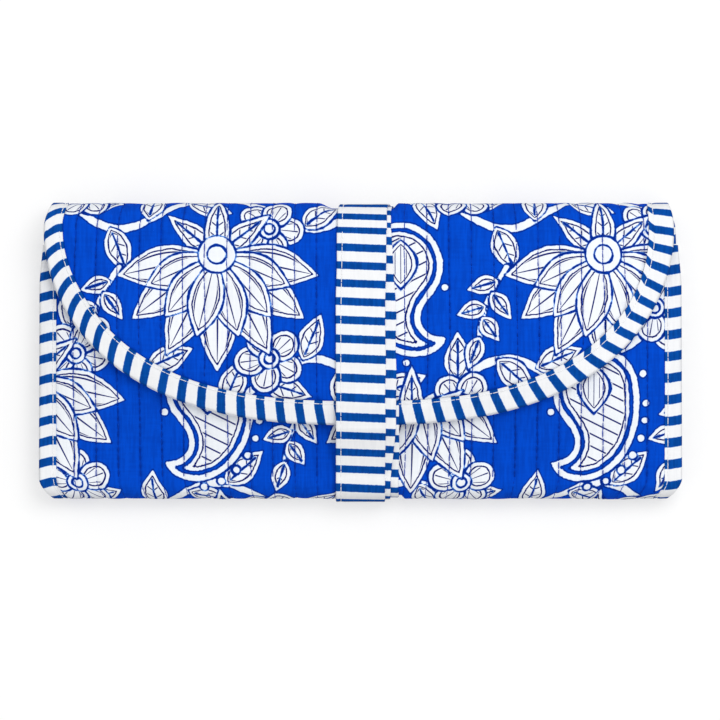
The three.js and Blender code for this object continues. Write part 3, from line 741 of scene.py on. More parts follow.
TOP_BEND = ("back", "flap", (0, 0, 0.5 * QUILT * MM), (0, 0, (2 * TOP_Z - 0.5 * QUILT) * MM))
BOTTOM_BEND = ("back", "front", (0, 0, 0), (0, 0, 2 * BOTTOM_Z * MM))


def hold(piece, body):
    """Fix a piece to one body; a piece over a fold gets its place baked into its points and is fixed to
    neither body.
    """
    if isinstance(body, str):
        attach(piece, body)
    else:
        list(body)
        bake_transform(piece)


ALL_PLIES = ("cover", "batting", "lining")

for panel, grid, under, plies, body in (
    ("back", mat_grid(BOTTOM_Y, TOP_Y, 46), lining_level, ALL_PLIES, "back"),
    ("front", mat_grid(BOTTOM_Y, FRONT_TOP - TUCK, 43), lining_level, ALL_PLIES, "front"),
    ("top_fold", mat_grid(-FLAT_TURN, FLAT_TURN, 16), lining_level, ALL_PLIES, TOP_BEND),
    ("bottom_fold", mat_grid(-FLAT_TURN, FLAT_TURN, 12), lining_level, ALL_PLIES, BOTTOM_BEND),
    ("flap", flap_grid(36), under_padding, ("cover", "batting"), "flap"),
):
    piece = quilt(f"{panel}_quilt", panel, *grid, under)
    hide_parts(*(f"{panel}_{ply}" for ply in plies))
    hold(piece, body)


# Quilting thread
# Rows of running stitches in blue cotton thread hold the three plies together. Each stitch is a short length
# of thread that dips into the cloth at both ends.
STITCH = 3.0
STITCH_WANDER = 0.14
STITCH_SLIP = 0.05
STITCH_LEAN = 0.1
STITCH_MARGIN = 0.6
THREAD = 0.18
THREAD_BLUE = srgb(6, 57, 166)
THREAD_LIGHT = srgb(14, 72, 190)

quilting_thread, tree = new_material("quilting_thread")
twist = noise(tree, 500)
finish_cotton(tree, blend_colours(tree, ramp(tree, twist, 0.5, 0.8), THREAD_BLUE, THREAD_LIGHT), twist, 0.7)

STITCH_SIDES = 6
STITCH_SHAPE = ((0, 0.5, -0.9), (0.06, 0.95, 0.3), (0.5, 1.0, 0.55), (0.94, 0.95, 0.3), (1, 0.5, -0.9))


def tube_faces(rings, sides):
    """Faces round a row of closed rings of points, without its ends, and the numbers of the points."""
    index = np.arange(rings * sides).reshape(rings, sides)
    faces = np.stack([index[:-1], np.roll(index[:-1], -1, 1), np.roll(index[1:], -1, 1), index[1:]], axis=-1)
    return faces.reshape(-1, 4).tolist(), index


def closed_tube(rings, sides):
    """Faces of a tube whose first and last ring are closed too."""
    faces, index = tube_faces(rings, sides)
    return faces + [index[0].tolist(), index[-1].tolist()]


def unit(vectors):
    return vectors / (np.linalg.norm(vectors, axis=-1, keepdims=True) + 1e-9)


def stitch_line(name, starts, ends, outward, radius, material):
    """Separate stitches between pairs of places, each a thin spindle that sinks at its ends."""
    along = ends - starts
    beside = unit(np.cross(along, outward))
    rings = []
    for share, width, lift in STITCH_SHAPE:
        for side in range(STITCH_SIDES):
            turn = math.tau * side / STITCH_SIDES
            aside = beside * radius * width * math.cos(turn)
            rings.append(starts + along * share + aside + outward * radius * (width * math.sin(turn) + lift))
    places = np.stack(rings, axis=1)
    count, each = places.shape[:2]
    one = closed_tube(len(STITCH_SHAPE), STITCH_SIDES)
    faces = []
    for stitch in range(count):
        faces += [[corner + stitch * each for corner in face] for face in one]
    return solid_piece(name, places.reshape(-1, 3), faces, [material])


def quilting(name, panel, start, end, per_unit):
    """Stitches along every row of one panel; per_unit is the cloth length of one unit of its station."""
    along, inside = PANELS[panel][1], PANELS[panel][3]
    chance = np.random.default_rng(31)
    rows = int((HALF - SIDE_BINDING) // ROW_PITCH)
    pitch = STITCH_PITCH / per_unit
    firsts = np.arange(start + 0.15 * pitch, end - 0.85 * pitch, pitch)
    x, s = np.meshgrid(np.arange(-rows, rows + 1) * ROW_PITCH, firsts)
    x = (x + chance.uniform(-STITCH_WANDER, STITCH_WANDER, x.shape)).ravel()
    s = (s + chance.uniform(-STITCH_SLIP, STITCH_SLIP, s.shape) * pitch).ravel()
    length = STITCH / per_unit * chance.uniform(0.92, 1.06, x.shape)
    lean = x + chance.uniform(-STITCH_LEAN, STITCH_LEAN, x.shape)
    shown = inside(mat_x(panel, x, along(s)), s) > STITCH_MARGIN
    shown &= inside(mat_x(panel, lean, along(s + length)), s + length) > STITCH_MARGIN
    x, s, length, lean = x[shown], s[shown], length[shown], lean[shown]
    level = cover_level(panel, x, s)
    first = on_panel(panel, x, s, level)
    last = on_panel(panel, lean, s + length, cover_level(panel, lean, s + length))
    return stitch_line(name, first, last, first - on_panel(panel, x, s, level - 1), THREAD, quilting_thread)


for name, panel, start, end, per_unit, body in (
    ("quilting_back", "back", BOTTOM_Y, TOP_Y, 1, "back"),
    ("quilting_front", "front", BOTTOM_Y, FRONT_TOP, 1, "front"),
    ("quilting_flap", "flap", FLAP_TIP, TOP_Y, 1, "flap"),
    ("quilting_top_fold", "top_fold", -FLAT_TURN, FLAT_TURN, TOP_Z, TOP_BEND),
    ("quilting_bottom_fold", "bottom_fold", -FLAT_TURN, FLAT_TURN, BOTTOM_Z, BOTTOM_BEND),
):
    thread = quilting(name, panel, start, end, per_unit)
    hold(thread, body)


# Lining cloths and pockets
# White cotton cloths inside the roll: the flap's lining in two halves beside the zip, the bag behind the zip,
# and a slip pocket sewn on the front's and on the back's lining, each with a turned hem at its mouth.
LINING = 0.7
LINING_GAP = 0.05
LINING_INSET = 1.2
LINING_SAG = 0.18
LINING_RUMPLE = 0.12


def slab_faces(shape):
    """Faces of a closed slab: an upper grid of points, a lower one, and the rim between them."""
    index = np.arange(shape[0] * shape[1]).reshape(shape)
    faces = quads(index) + quads(index[:, ::-1] + index.size)
    loop = np.concatenate([index[0, :-1], index[:-1, -1], index[-1, :0:-1], index[:0:-1, 0]])
    for a, b in zip(loop.tolist(), np.roll(loop, -1).tolist()):
        faces.append([a, b, b + index.size, a + index.size])
    return faces


def cloth(name, place, x, s, low, high):
    """Thin closed lining cloth over a grid of places, between two levels."""
    places = np.concatenate([place(x, s, high).reshape(-1, 3), place(x, s, low).reshape(-1, 3)])
    piece = solid_piece(name, places, slab_faces(x.shape), [lining_cotton])
    return piece


lining_half = FLAP_HALF - LINING_INSET


def lining_puff(x, y):
    rows = LINING_DIP * np.abs(np.sin(math.pi * x / ROW_PITCH))
    return rows + LINING_RUMPLE * rumple(x, y, 6.0, 21)


def flap_lining(name, lowest, highest):
    """One half of the flap's lining, its columns running between two edges, and its area."""
    x = np.linspace(-lining_half, lining_half, 171)
    low = np.maximum(flap_bottom(x, LINING_INSET), lowest)
    keep = low < highest - 0.5
    x, low = x[keep], low[keep]
    grid_y = low + (highest - low) * np.linspace(0, 1, 31)[:, None]
    grid_x = np.broadcast_to(x, grid_y.shape)
    sag = (LINING_SAG - lining_puff(grid_x, grid_y)) * ease(flap_inside(grid_x, grid_y) / BINDING)
    sag = sag * ease((np.abs(grid_y - ZIP_Y) - SLOT_HALF) / 3)
    piece = cloth(name, on_flap, grid_x, grid_y, sag, sag + LINING - LINING_GAP)
    return piece, float(np.sum(np.diff(x) * (highest - low[1:])))


for name, node, lowest, highest in (
    ("flap_lining_below_zip", "flap_lining_lower", FLAP_TIP, ZIP_Y - SLOT_HALF),
    ("flap_lining_above_zip", "flap_lining_upper", ZIP_Y + SLOT_HALF, TOP_Y),
):
    piece, area = flap_lining(name, lowest, highest)
    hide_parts(node)
    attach(piece, "flap")

BAG_LEVEL = 1.02
BAG_RISE = 1.22
BAG_CLOTH = 0.33


def corners(node):
    """Lowest and highest corner of a node's solid, in millimetres."""
    return (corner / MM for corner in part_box(node))


bag_low, bag_high = corners("flap_pocket_cloth")
x, s = np.meshgrid(np.linspace(bag_low.x, bag_high.x, 61), np.linspace(bag_low.y, bag_high.y, 41))
in_slot = ease((SLOT_HALF + 1.0 - np.abs(s - ZIP_Y)) / 1.0)
bag_level = BAG_LEVEL + BAG_RISE * in_slot
bag = cloth("zip_pocket_bag", on_flap, x, s, bag_level, bag_level + BAG_CLOTH)
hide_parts("flap_pocket_cloth")
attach(bag, "flap")

POCKET_HEM = 8.0
POCKET_CLOTH = 0.45
POCKET_RUMPLE = 0.12
HEM_PLY = 0.2


def slip_pocket(name, node, panel):
    """Pocket cloth on a panel's lining, with a doubled hem at its mouth."""
    low, high = corners(node)
    x, s = np.meshgrid(np.linspace(low.x, high.x, 141), np.linspace(low.y, high.y, 61))
    middle = np.clip((s - low.y) / (high.y - low.y), 0, 1) * (1 - (x / high.x) ** 6)
    hem = ease((s - high.y + POCKET_HEM) / 0.8)
    top = np.minimum(lining_level(panel, x, s) - 0.2, -0.25)
    top = top - POCKET_RUMPLE * np.maximum(rumple(x, s, 12.0, 41), 0) * middle
    piece = cloth(name, PANELS[panel][0], x, s, top - POCKET_CLOTH - HEM_PLY * hem, top)
    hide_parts(node)
    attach(piece, panel)


slip_pocket("back_pocket", "back_slip_pocket", "back")
slip_pocket("front_pocket", "front_slip_pocket", "front")


# Zip
# A nylon coil zip runs across the flap's lining: two woven tapes, two coils of loops that meet in the middle,
# and a cast slider with a flat pull.
COIL_PITCH = 1.25
COIL_WIRE = 0.2
COIL_STEPS = 10
COIL_SIDES = 5
COIL_END = 0.4
COIL_LEVEL = 0.35
COIL_HALF = 0.6
TAPE_LEVELS = (0.12, 0.58)
TAPE_RIB = 0.06
TAPE_RIB_PITCH = 1.0
NYLON_WHITE = srgb(236, 240, 246)
NYLON_GREY = srgb(214, 220, 230)
ZIP_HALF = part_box("zip_coil_lower")[1].x / MM

coil_nylon, tree = new_material("coil_nylon")
cloud = noise(tree, 300)
finish_cotton(tree, blend_colours(tree, cloud, NYLON_GREY, NYLON_WHITE), cloud, 0.35, 0.05)

for half, sign in (("lower", -1), ("upper", 1)):
    low, high = corners(f"zip_coil_{half}")
    middle_y, half_width = (low.y + high.y) / 2, (high.y - low.y) / 2 - COIL_WIRE
    turns = int(2 * ZIP_HALF / COIL_PITCH)
    t = np.arange(turns * COIL_STEPS + 1) / COIL_STEPS
    x = -ZIP_HALF + COIL_END + t * 2 * (ZIP_HALF - COIL_END) / turns
    y = middle_y + sign * half_width * np.cos(math.tau * t)
    n = COIL_LEVEL + (COIL_HALF - COIL_WIRE) * np.sin(math.tau * t)
    centre = on_flap(x, y, n)
    forward = unit(np.gradient(centre, axis=0))
    out = unit(np.cross(forward, (1.0, 0, 0)))
    side = np.cross(forward, out)
    angle = math.tau * np.arange(COIL_SIDES)[:, None] / COIL_SIDES
    tube = centre[:, None] + COIL_WIRE * (np.cos(angle) * out[:, None] + np.sin(angle) * side[:, None])
    faces = closed_tube(len(centre), COIL_SIDES)
    coil = solid_piece(f"coil_{half}", tube.reshape(-1, 3), faces, [coil_nylon])
    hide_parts(f"zip_coil_{half}")
    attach(coil, "flap")

    low, high = corners(f"zip_tape_{half}")
    x, s = np.meshgrid(np.linspace(low.x, high.x, 121), np.linspace(low.y, high.y, 7))
    ribs = TAPE_RIB * np.cos(math.tau * (s - low.y) / TAPE_RIB_PITCH)
    tape = cloth(f"tape_{half}", on_flap, x, s, *(level + ribs for level in TAPE_LEVELS))
    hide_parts(f"zip_tape_{half}")
    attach(tape, "flap")

NICKEL = srgb(196, 198, 202)
NICKEL_DULL = srgb(150, 153, 160)
cast_nickel, tree = new_material("cast_nickel")
scuffs = noise(tree, 900, 5)
surface = tree.nodes["Principled BSDF"]
tree.links.new(blend_colours(tree, scuffs, NICKEL_DULL, NICKEL), surface.inputs["Base Color"])
tree.links.new(reckon(tree, "MULTIPLY_ADD", scuffs, 0.3, 0.15), surface.inputs["Roughness"])
surface.inputs["Metallic"].default_value = 1.0
for node in ("zip_slider", "zip_pull", "snap_cap", "snap_socket", "snap_stud"):
    frame["nodes"][node].data.materials.clear()
    frame["nodes"][node].data.materials.append(cast_nickel)


# Ring bar
# A stuffed cotton roll for rings, sewn to a tab at its left end; its tongue is held at the right end by a
# press stud. The bar is puffed, with gathered ends.
bar_low, bar_high = corners("ring_bar")
BAR_RADIUS = (bar_high.z - bar_low.z) / 2
BAR_LEFT = bar_low.x
BAR_RIGHT = -BAR_LEFT
BAR_SIDES = 32
BAR_RINGS = 90
BAR_GATHER = 0.05
BAR_GATHERS = 8
BAR_RUMPLE = 0.012
END_HOLE = 0.02
TONGUE = 1.0
TONGUE_WIDTH = 5.0
bar_y, bar_z = (bar_low.y + bar_high.y) / 2, (bar_low.z + bar_high.z) / 2
end_turn = np.linspace(0, math.pi / 2, 7)
left_x = BAR_LEFT + BAR_RADIUS * (1 - np.cos(end_turn))
right_x = BAR_RIGHT - BAR_RADIUS * (1 - np.sin(end_turn))
bar_x = np.concatenate([left_x[:-1], np.linspace(left_x[-1], right_x[0], BAR_RINGS), right_x[1:]])
shrink = np.concatenate([np.sin(end_turn[:-1]), np.ones(BAR_RINGS), np.cos(end_turn[1:])])[:, None] + END_HOLE
around, lengthwise = np.meshgrid(math.tau * np.arange(BAR_SIDES) / BAR_SIDES, bar_x)
gathers = 1 - BAR_GATHER * np.abs(np.sin(BAR_GATHERS * around)) * (1 - shrink)
gathers = gathers + BAR_RUMPLE * rumple(lengthwise, around * BAR_RADIUS, 5, 51)
reach = (BAR_RADIUS - 0.1) * shrink * gathers
skin = points(lengthwise, bar_y + reach * np.cos(around), bar_z + reach * np.sin(around))
faces = closed_tube(len(bar_x), BAR_SIDES)
bar = solid_piece("ring_bar_roll", skin.reshape(-1, 3), faces, [lining_cotton])
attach(bar, "ring_bar")


def strap_piece(name, x1, x2, low, high, bend=0.0):
    """Small flat cloth strap along the bar's line, rounded at its end."""
    x, s = np.meshgrid(np.linspace(x1, x2, 25), np.linspace(-TONGUE_WIDTH / 2, TONGUE_WIDTH / 2, 9))
    taper = 1 - 0.25 * ease((x - (x2 - 2)) / 2) if x2 > 0 else 1 + 0 * x
    rise = bend * ease((x - x1) / (x2 - x1))

    def place(x, s, n):
        return points(x, bar_y + s * taper, n + rise)

    return cloth(name, place, x, s, low + 0 * x, high + 0 * x)


tongue = strap_piece("ring_bar_tongue", BAR_RIGHT - 2.5, bar_high.x, bar_z - TONGUE / 2, bar_z + TONGUE / 2)
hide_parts("ring_bar")
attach(tongue, "ring_bar")
tab_low, tab_high = corners("ring_bar_tab")
tab_rise = bar_z - tab_low.z - TONGUE
tab = strap_piece("ring_bar_tab_cloth", tab_low.x, tab_high.x, tab_low.z, tab_low.z + TONGUE, tab_rise)
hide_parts("ring_bar_tab")
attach(tab, "back")


# Bindings
# Strips of blue and white striped cotton, cut on a slant, folded over every free edge of the mat and sewn
# down through all plies with white thread near their inner edge.
STRIPE_BLUE = srgb(4, 76, 164)
STRIPE_DEEP = srgb(2, 64, 142)
STRIPE_WHITE = srgb(240, 241, 243)
STRIPE_SHADE = srgb(235, 236, 239)
STRIPE_BLED = srgb(112, 160, 218)
BINDING_PLY = 0.6
ROUND = 1.2
TOPSTITCH_IN = 1.2
SEWN_DENT = 0.28
SEWN_REACH = 0.9
LIP = 2.2
STRIPE_RAGGED = 0.3
STRIPE_BLEED = 0.14


def striped_cotton(name, pitch, dark, start):
    """Woven stripes across a strip: a dark one is centred where the run is start, in millimetres."""
    material, tree = new_material(name)
    weave, slubs = cotton_weave(tree)
    first = 50.5 * pitch - start - STRIPE_RAGGED / 2
    offset = reckon(tree, "MULTIPLY_ADD", noise(tree, 1100, 1), STRIPE_RAGGED, first)
    moved = reckon(tree, "MODULO", reckon(tree, "ADD", measure_of(tree, "run"), offset), pitch)
    from_centre = reckon(tree, "ABSOLUTE", reckon(tree, "SUBTRACT", moved, pitch / 2))
    bled_share = ramp(tree, from_centre, dark / 2 - STRIPE_BLEED, dark / 2)
    white_share = ramp(tree, from_centre, dark / 2, dark / 2 + STRIPE_BLEED)
    dark_cloth = blend_colours(tree, slubs, STRIPE_DEEP, STRIPE_BLUE)
    dark_cloth = blend_colours(tree, bled_share, dark_cloth, STRIPE_BLED)
    pale_cloth = blend_colours(tree, slubs, STRIPE_SHADE, STRIPE_WHITE)
    striped = blend_colours(tree, white_share, dark_cloth, pale_cloth)
    finish_cotton(tree, striped, weave, bump=0.2)
    return material


def binding_section(bottom, top, width, sewn_in=TOPSTITCH_IN):
    """Closed section of a strip folded over an edge: distance in, level, and distance across the cloth."""
    middle, half = (bottom + top) / 2, (top - bottom) / 2
    legs = np.linspace(width, ROUND, 9)
    sewn = SEWN_DENT * np.exp(-((legs - width + sewn_in) / SEWN_REACH) ** 2)
    bend = np.linspace(FLAT_TURN, -FLAT_TURN, 13)[1:-1]
    outer_d = np.concatenate([legs, ROUND - ROUND * np.cos(bend), legs[::-1]])
    outer_n = np.concatenate([top - sewn, middle + half * np.sin(bend), bottom + sewn[::-1]])
    back = bend[::-1]
    inner_d = np.concatenate([legs + 0.05, ROUND - (ROUND - BINDING_PLY) * np.cos(back), legs[::-1] + 0.05])
    under, over = bottom + sewn + BINDING_PLY, top - sewn[::-1] - BINDING_PLY
    inner_n = np.concatenate([under, middle + (half - BINDING_PLY) * np.sin(back), over])
    across = lengths_along(outer_d, outer_n)
    inner_across = np.linspace(across[-1], 0, len(inner_d))
    around = (outer_d, inner_d), (outer_n, inner_n), (across, inner_across)
    return tuple(np.concatenate(halves) for halves in around)


def turned_in(section):
    """The same section at a free end of a strip, where its cloth is turned in and fills it."""
    d, n, across = (values.copy() for values in section)
    half = len(d) // 2
    d[half:] = d[0]
    n[half:] = np.linspace(n[half - 1] + 0.05, n[0] - 0.05, half)
    return d, n, across


def bind(name, sections, runs, slants, material, put):
    """Binding lofted through one section at each station; put places (station, distance in, level).

    The stripes lean, curl towards the edge, and have a kink in the lip inside the stitches.
    """
    rings = [put(station, d, n) for station, (d, n, _) in enumerate(sections)]
    count = rings[0].shape[0]
    faces, index = tube_faces(len(rings), count)
    for ring in (index[0].tolist(), index[-1].tolist()):
        for i in range(count // 2 - 1):
            faces.append([ring[i], ring[i + 1], ring[count - 2 - i], ring[count - 1 - i]])
    across = np.array([section[2] for section in sections])
    lean, curl, kink = (np.broadcast_to(slant, len(runs))[:, None] for slant in slants)
    slid = lean * np.maximum(across, LIP) + curl * across ** 2 + kink * np.maximum(LIP - across, 0)
    run = np.asarray(runs)[:, None] - slid
    piece = solid_piece(name, np.concatenate(rings), faces, [material], run=run.ravel())
    return piece


STITCH_WHITE = srgb(248, 249, 250)
topstitch_thread, tree = new_material("topstitch_thread")
twist = noise(tree, 900)
finish_cotton(tree, blend_colours(tree, twist, STRIPE_SHADE, STITCH_WHITE), twist, 0.7)
TOPSTITCH = 2.7
TOPSTITCH_GAP = 0.25
TOPSTITCH_RADIUS = 0.15


def topstitch(name, path, outward):
    """White stitches of even length along a path given by close places."""
    travelled = lengths_along(*path.T)
    firsts = np.arange(0.5, travelled[-1] - TOPSTITCH, TOPSTITCH + TOPSTITCH_GAP)

    def at(distance, values):
        return np.stack([np.interp(distance, travelled, values[:, axis]) for axis in range(3)], axis=-1)

    ends = at(firsts, path), at(firsts + TOPSTITCH, path)
    piece = stitch_line(name, *ends, at(firsts, outward), TOPSTITCH_RADIUS, topstitch_thread)
    return piece


FLAP_BINDING_BOTTOM = -0.7
FLAP_BINDING_TOP = QUILT + 0.75
SIDE_BINDING_BOTTOM = -0.12
FRONT_BINDING_TOP = QUILT + 0.2
BACK_BINDING_TOP = QUILT - 0.3
LEFT_SLANT = (0.26, 0.0, 0.0)
RIGHT_SLANT = (-0.167, 0.0, 0.0)
MIDDLE_LEAN = 0.21
LEFT_END_SLANT = (0.3, 0.033, 0.0)
RIGHT_END_SLANT = (-0.12, 0.0, 0.8)
RIGHT_SEWN_IN = 2.2
SIDE_WAVE = 0.12
FLAP_WAVE = 0.15
THREAD_SUNK = 0.2
FLAP_STRIPE_SHIFT = (4.8, -3.2, -0.5, -24.7, 0.0, 16.7)
run_half = edge_run[-1] / 2


def stripe_shift(share):
    """How far the stripes are moved along the flap's strip, which was stretched round its corners."""
    return np.polynomial.polynomial.polyval(share, FLAP_STRIPE_SHIFT)


flap_stripes = striped_cotton("flap_binding_stripes", 7.65, 3.3, 3.8)
side_stripes = {
    "left": striped_cotton("left_binding_stripes", 8.19, 3.4, 6.94),
    "right": striped_cotton("right_binding_stripes", 8.51, 3.7, 4.26),
}

for side, sign, slants in (("left", -1, LEFT_SLANT), ("right", 1, RIGHT_SLANT)):
    for panel, stations, far_top, body in (
        ("back", np.linspace(BOTTOM_Y, TOP_Y, 60), BACK_BINDING_TOP, "back"),
        ("front", np.linspace(BOTTOM_Y, FRONT_TOP, 60), FRONT_BINDING_TOP, "front"),
        ("bottom_fold", np.linspace(-FLAT_TURN, FLAT_TURN, 32), FRONT_BINDING_TOP, BOTTOM_BEND),
        ("top_fold", np.linspace(-FLAT_TURN, FLAT_TURN, 40), FLAP_BINDING_TOP, TOP_BEND),
    ):
        place, along = PANELS[panel][:2]
        share = ease(stations / math.pi + 0.5) if body in (TOP_BEND, BOTTOM_BEND) else np.ones(len(stations))
        tops = BACK_BINDING_TOP + (far_top - BACK_BINDING_TOP) * share
        bottoms = np.full(len(stations), SIDE_BINDING_BOTTOM)
        widths = np.full(len(stations), SIDE_BINDING)
        sewn_in = np.full(len(stations), TOPSTITCH_IN)
        runs, stripes = along(stations), side_stripes[side]
        if panel == "top_fold":
            wider = (FOLD_END_LEFT if side == "left" else FOLD_END_RIGHT) - SIDE_BINDING
            widths += wider * share
            bottoms += (FLAP_BINDING_BOTTOM - SIDE_BINDING_BOTTOM) * share
            sewn_in += ((RIGHT_SEWN_IN if side == "right" else TOPSTITCH_IN) - TOPSTITCH_IN) * share
            runs = sign * (run_half + FLAP_START - runs) + stripe_shift(sign)
            stripes = flap_stripes
            slants = LEFT_END_SLANT if side == "left" else RIGHT_END_SLANT
        sections = [binding_section(*levels) for levels in zip(bottoms, tops, widths, sewn_in)]
        if panel == "front":
            sections[-1] = turned_in(sections[-1])

        def put(station, d, n):
            s = stations[station]
            wave = SIDE_WAVE * rumple(along(s) + 0 * d, d, 7.0, 61)
            return place(sign * (HALF - d), s, n + wave)

        strip = bind(f"{panel}_strip_{side}", sections, runs, slants, stripes, put)
        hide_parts(f"{panel}_binding_{side}")
        sewn_x = sign * (HALF - widths + sewn_in)
        path = place(sewn_x, stations, tops - THREAD_SUNK)
        below = place(sewn_x, stations, tops - THREAD_SUNK - 1)
        thread = topstitch(f"{panel}_topstitch_{side}", path, path - below)
        hold(strip, body)
        hold(thread, body)

TOP_SLANT = (-0.2, 0.0, 0.0)
TOP_LEVELS = (0.1, QUILT - 0.1)
top_stripes = striped_cotton("front_top_binding_stripes", 7.9, 3.2, 4.0)
top_end = HALF - SIDE_BINDING - 0.2
stations = np.linspace(-top_end, top_end, 140)
sections = [binding_section(*TOP_LEVELS, BINDING)] * len(stations)
top_strip = bind("front_strip_top", sections, stations, TOP_SLANT, top_stripes,
                 lambda station, d, n: on_front(stations[station], FRONT_TOP - d, n))
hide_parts("front_binding_top")
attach(top_strip, "front")

# Round the flap the strip leans more at the left, is eased in a corner, and is sewn further in at the right
LEFT_FROM, LEFT_REACH = 75.0, 50.0
RIGHT_FROM, RIGHT_REACH = 116.0, 28.0
CORNER_AT, CORNER_REACH, CORNER_LEAN = 103.0, 13.0, 0.13
KINK_FROM, KINK_REACH = 85.0, 15.0
SEWN_FROM, SEWN_OVER = 60.0, 40.0
run = edge_run - run_half
forward_x, forward_y = np.gradient(edge_x), np.gradient(edge_y)
inward_x = -forward_y / np.hypot(forward_x, forward_y)
inward_y = forward_x / np.hypot(forward_x, forward_y)
widths = flap_binding_width(edge_x, edge_y)
to_left, to_right = ease((-run - LEFT_FROM) / LEFT_REACH), ease((run - RIGHT_FROM) / RIGHT_REACH)
leans = MIDDLE_LEAN + (LEFT_END_SLANT[0] - MIDDLE_LEAN) * to_left
leans = leans + (RIGHT_END_SLANT[0] - MIDDLE_LEAN) * to_right
leans = leans + CORNER_LEAN * np.exp(-((run - CORNER_AT) / CORNER_REACH) ** 2)
slants = leans, LEFT_END_SLANT[1] * to_left, RIGHT_END_SLANT[2] * ease((run - KINK_FROM) / KINK_REACH)
sewn_in = TOPSTITCH_IN + (RIGHT_SEWN_IN - TOPSTITCH_IN) * ease((run - SEWN_FROM) / SEWN_OVER)
levels = FLAP_BINDING_BOTTOM, FLAP_BINDING_TOP
sections = [binding_section(*levels, width, inset) for width, inset in zip(widths, sewn_in)]


def put_flap_edge(station, d, n):
    x = edge_x[station] + inward_x[station] * d
    y = edge_y[station] + inward_y[station] * d
    wave = FLAP_WAVE * rumple(run[station] + 0 * d, d, 6.0, 62) - PINCH_FLAP * pinch_share(x)
    return on_flap(x, y, n + wave)


striped_run = run + stripe_shift(run / run_half)
flap_strip = bind("flap_strip", sections, striped_run, slants, flap_stripes, put_flap_edge)
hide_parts("flap_binding")
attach(flap_strip, "flap")
sewn_x = edge_x + inward_x * (widths - sewn_in)
sewn_y = edge_y + inward_y * (widths - sewn_in)
sewn_top = FLAP_BINDING_TOP - THREAD_SUNK - PINCH_FLAP * pinch_share(sewn_x)
path = on_flap(sewn_x, sewn_y, sewn_top)
thread = topstitch("flap_topstitch", path, path - on_flap(sewn_x, sewn_y, sewn_top - 1))
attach(thread, "flap")


# Tie
# A long strip of the striped cotton, folded lengthwise and sewn along its left edge. Its end is sewn on the
# flap's tip; it winds round the roll three times, each turn partly over the last, and its tail is tucked in.
TIE_WIDTH = 19.4
TIE_SHIFT = (5.4, 4.2, 0.0)
TIE_DRIFT = (0.0, 2.0, 0.0)
TIE_TOP_DRIFT = (0.0, 1.8, -0.6)
TIE_TOP_REACH = 33.0
TIE_PITCH = 0.92
TIE_THICK = 0.78
TIE_SEAT = 0.22
TIE_TAIL = 60.0
TIE_SEAM = 9.0
TIE_STEP = 6.5
TIE_RISE = 4.0
TIE_LEAN = 0.044
TIE_LANES = 25
TIE_EDGE = 0.25
TIE_EDGE_THIN = 0.45
TIE_WANDER = 0.25
TIE_RIPPLE = 0.1
SEAM_IN = 2.0
SEAM_DENT = 0.16
SEAM_REACH = 0.6
STRIPE_PITCH = 7.9
STRIPE_AT = (-26.3, -23.6, -17.8)
TOP_CROWDING = (0.0, 0.065, 0.11)
BOTTOM_CROWDING = (0.04, 0.06, 0.09)
TOP_CRUSH = 0.8
BINDING_PROUD = FLAP_BINDING_TOP - QUILT
tie_stripes = striped_cotton("tie_stripes", STRIPE_PITCH, 3.4, 0.0)


def flap_top(y):
    raised = BINDING_PROUD * (1 - ease((y - FLAP_TIP - BINDING) / TIE_RISE))
    return flap_base(y) + QUILT - PINCH_FLAP + raised


def tie_bed(y):
    """Height under the tie on the front of the roll."""
    drop_start, drop_end = FLAP_TIP - 1, BOTTOM_Y + 1
    front_top = front_base(y) + QUILT - PINCH_FLAP
    step = flap_top(FLAP_TIP) + 0.2 - (front_base(FLAP_TIP) + QUILT - PINCH_FLAP)
    falling = front_top + step * np.clip((y - drop_end) / (drop_start - drop_end), 0, 1)
    return np.where(y >= drop_start, flap_top(np.maximum(y, FLAP_TIP)), falling) + bulge(0, y)


def tie_layer(turn, y):
    """Layer that a turn lies on: above the sewn end it is one layer lower."""
    if turn == 0:
        return 0 * y
    seam_top = FLAP_TIP + TIE_SEAM
    return turn - 1 + ease((seam_top + 0.3 + TIE_STEP - y) / TIE_STEP)


def tie_height(turn, y):
    return tie_bed(y) + tie_layer(turn, y) * TIE_PITCH


def tie_strand(name, stations, put, runs, turn, shift):
    """Flat folded strip: put places (x, station, height over its bed), shift moves its middle sideways."""
    half = TIE_WIDTH / 2
    lanes = np.concatenate([[-half], np.linspace(-half + TIE_EDGE, half - TIE_EDGE, TIE_LANES), [half]])
    thinner = TIE_THICK * TIE_EDGE_THIN * (np.abs(lanes) == half)
    s, lane = np.meshgrid(stations, lanes, indexing="ij")
    run = np.broadcast_to(runs[:, None], s.shape)
    x = lane + shift[:, None] + TIE_WANDER * rumple(run, np.sign(lane) * 7, 14.0, 71 + turn)
    sewn = SEAM_DENT * np.exp(-((lane + half - SEAM_IN) / SEAM_REACH) ** 2)
    lift = TIE_RIPPLE * rumple(run, lane, 8.0, 75 + turn)
    low = np.clip(lift, 0, 1) + thinner
    high = TIE_THICK + lift - sewn - thinner
    places = np.concatenate([put(x, s, high).reshape(-1, 3), put(x, s, low).reshape(-1, 3)])
    leaned = np.tile((run + TIE_LEAN * lane).ravel(), 2)
    strand = solid_piece(name, places, slab_faces(x.shape), [tie_stripes], run=leaned)
    seam = shift - half + SEAM_IN
    face = np.full(len(stations), TIE_THICK - 0.1)
    path = put(seam, stations, face)
    return strand, topstitch(f"{name}_seam", path, path - put(seam, stations, face - 1))


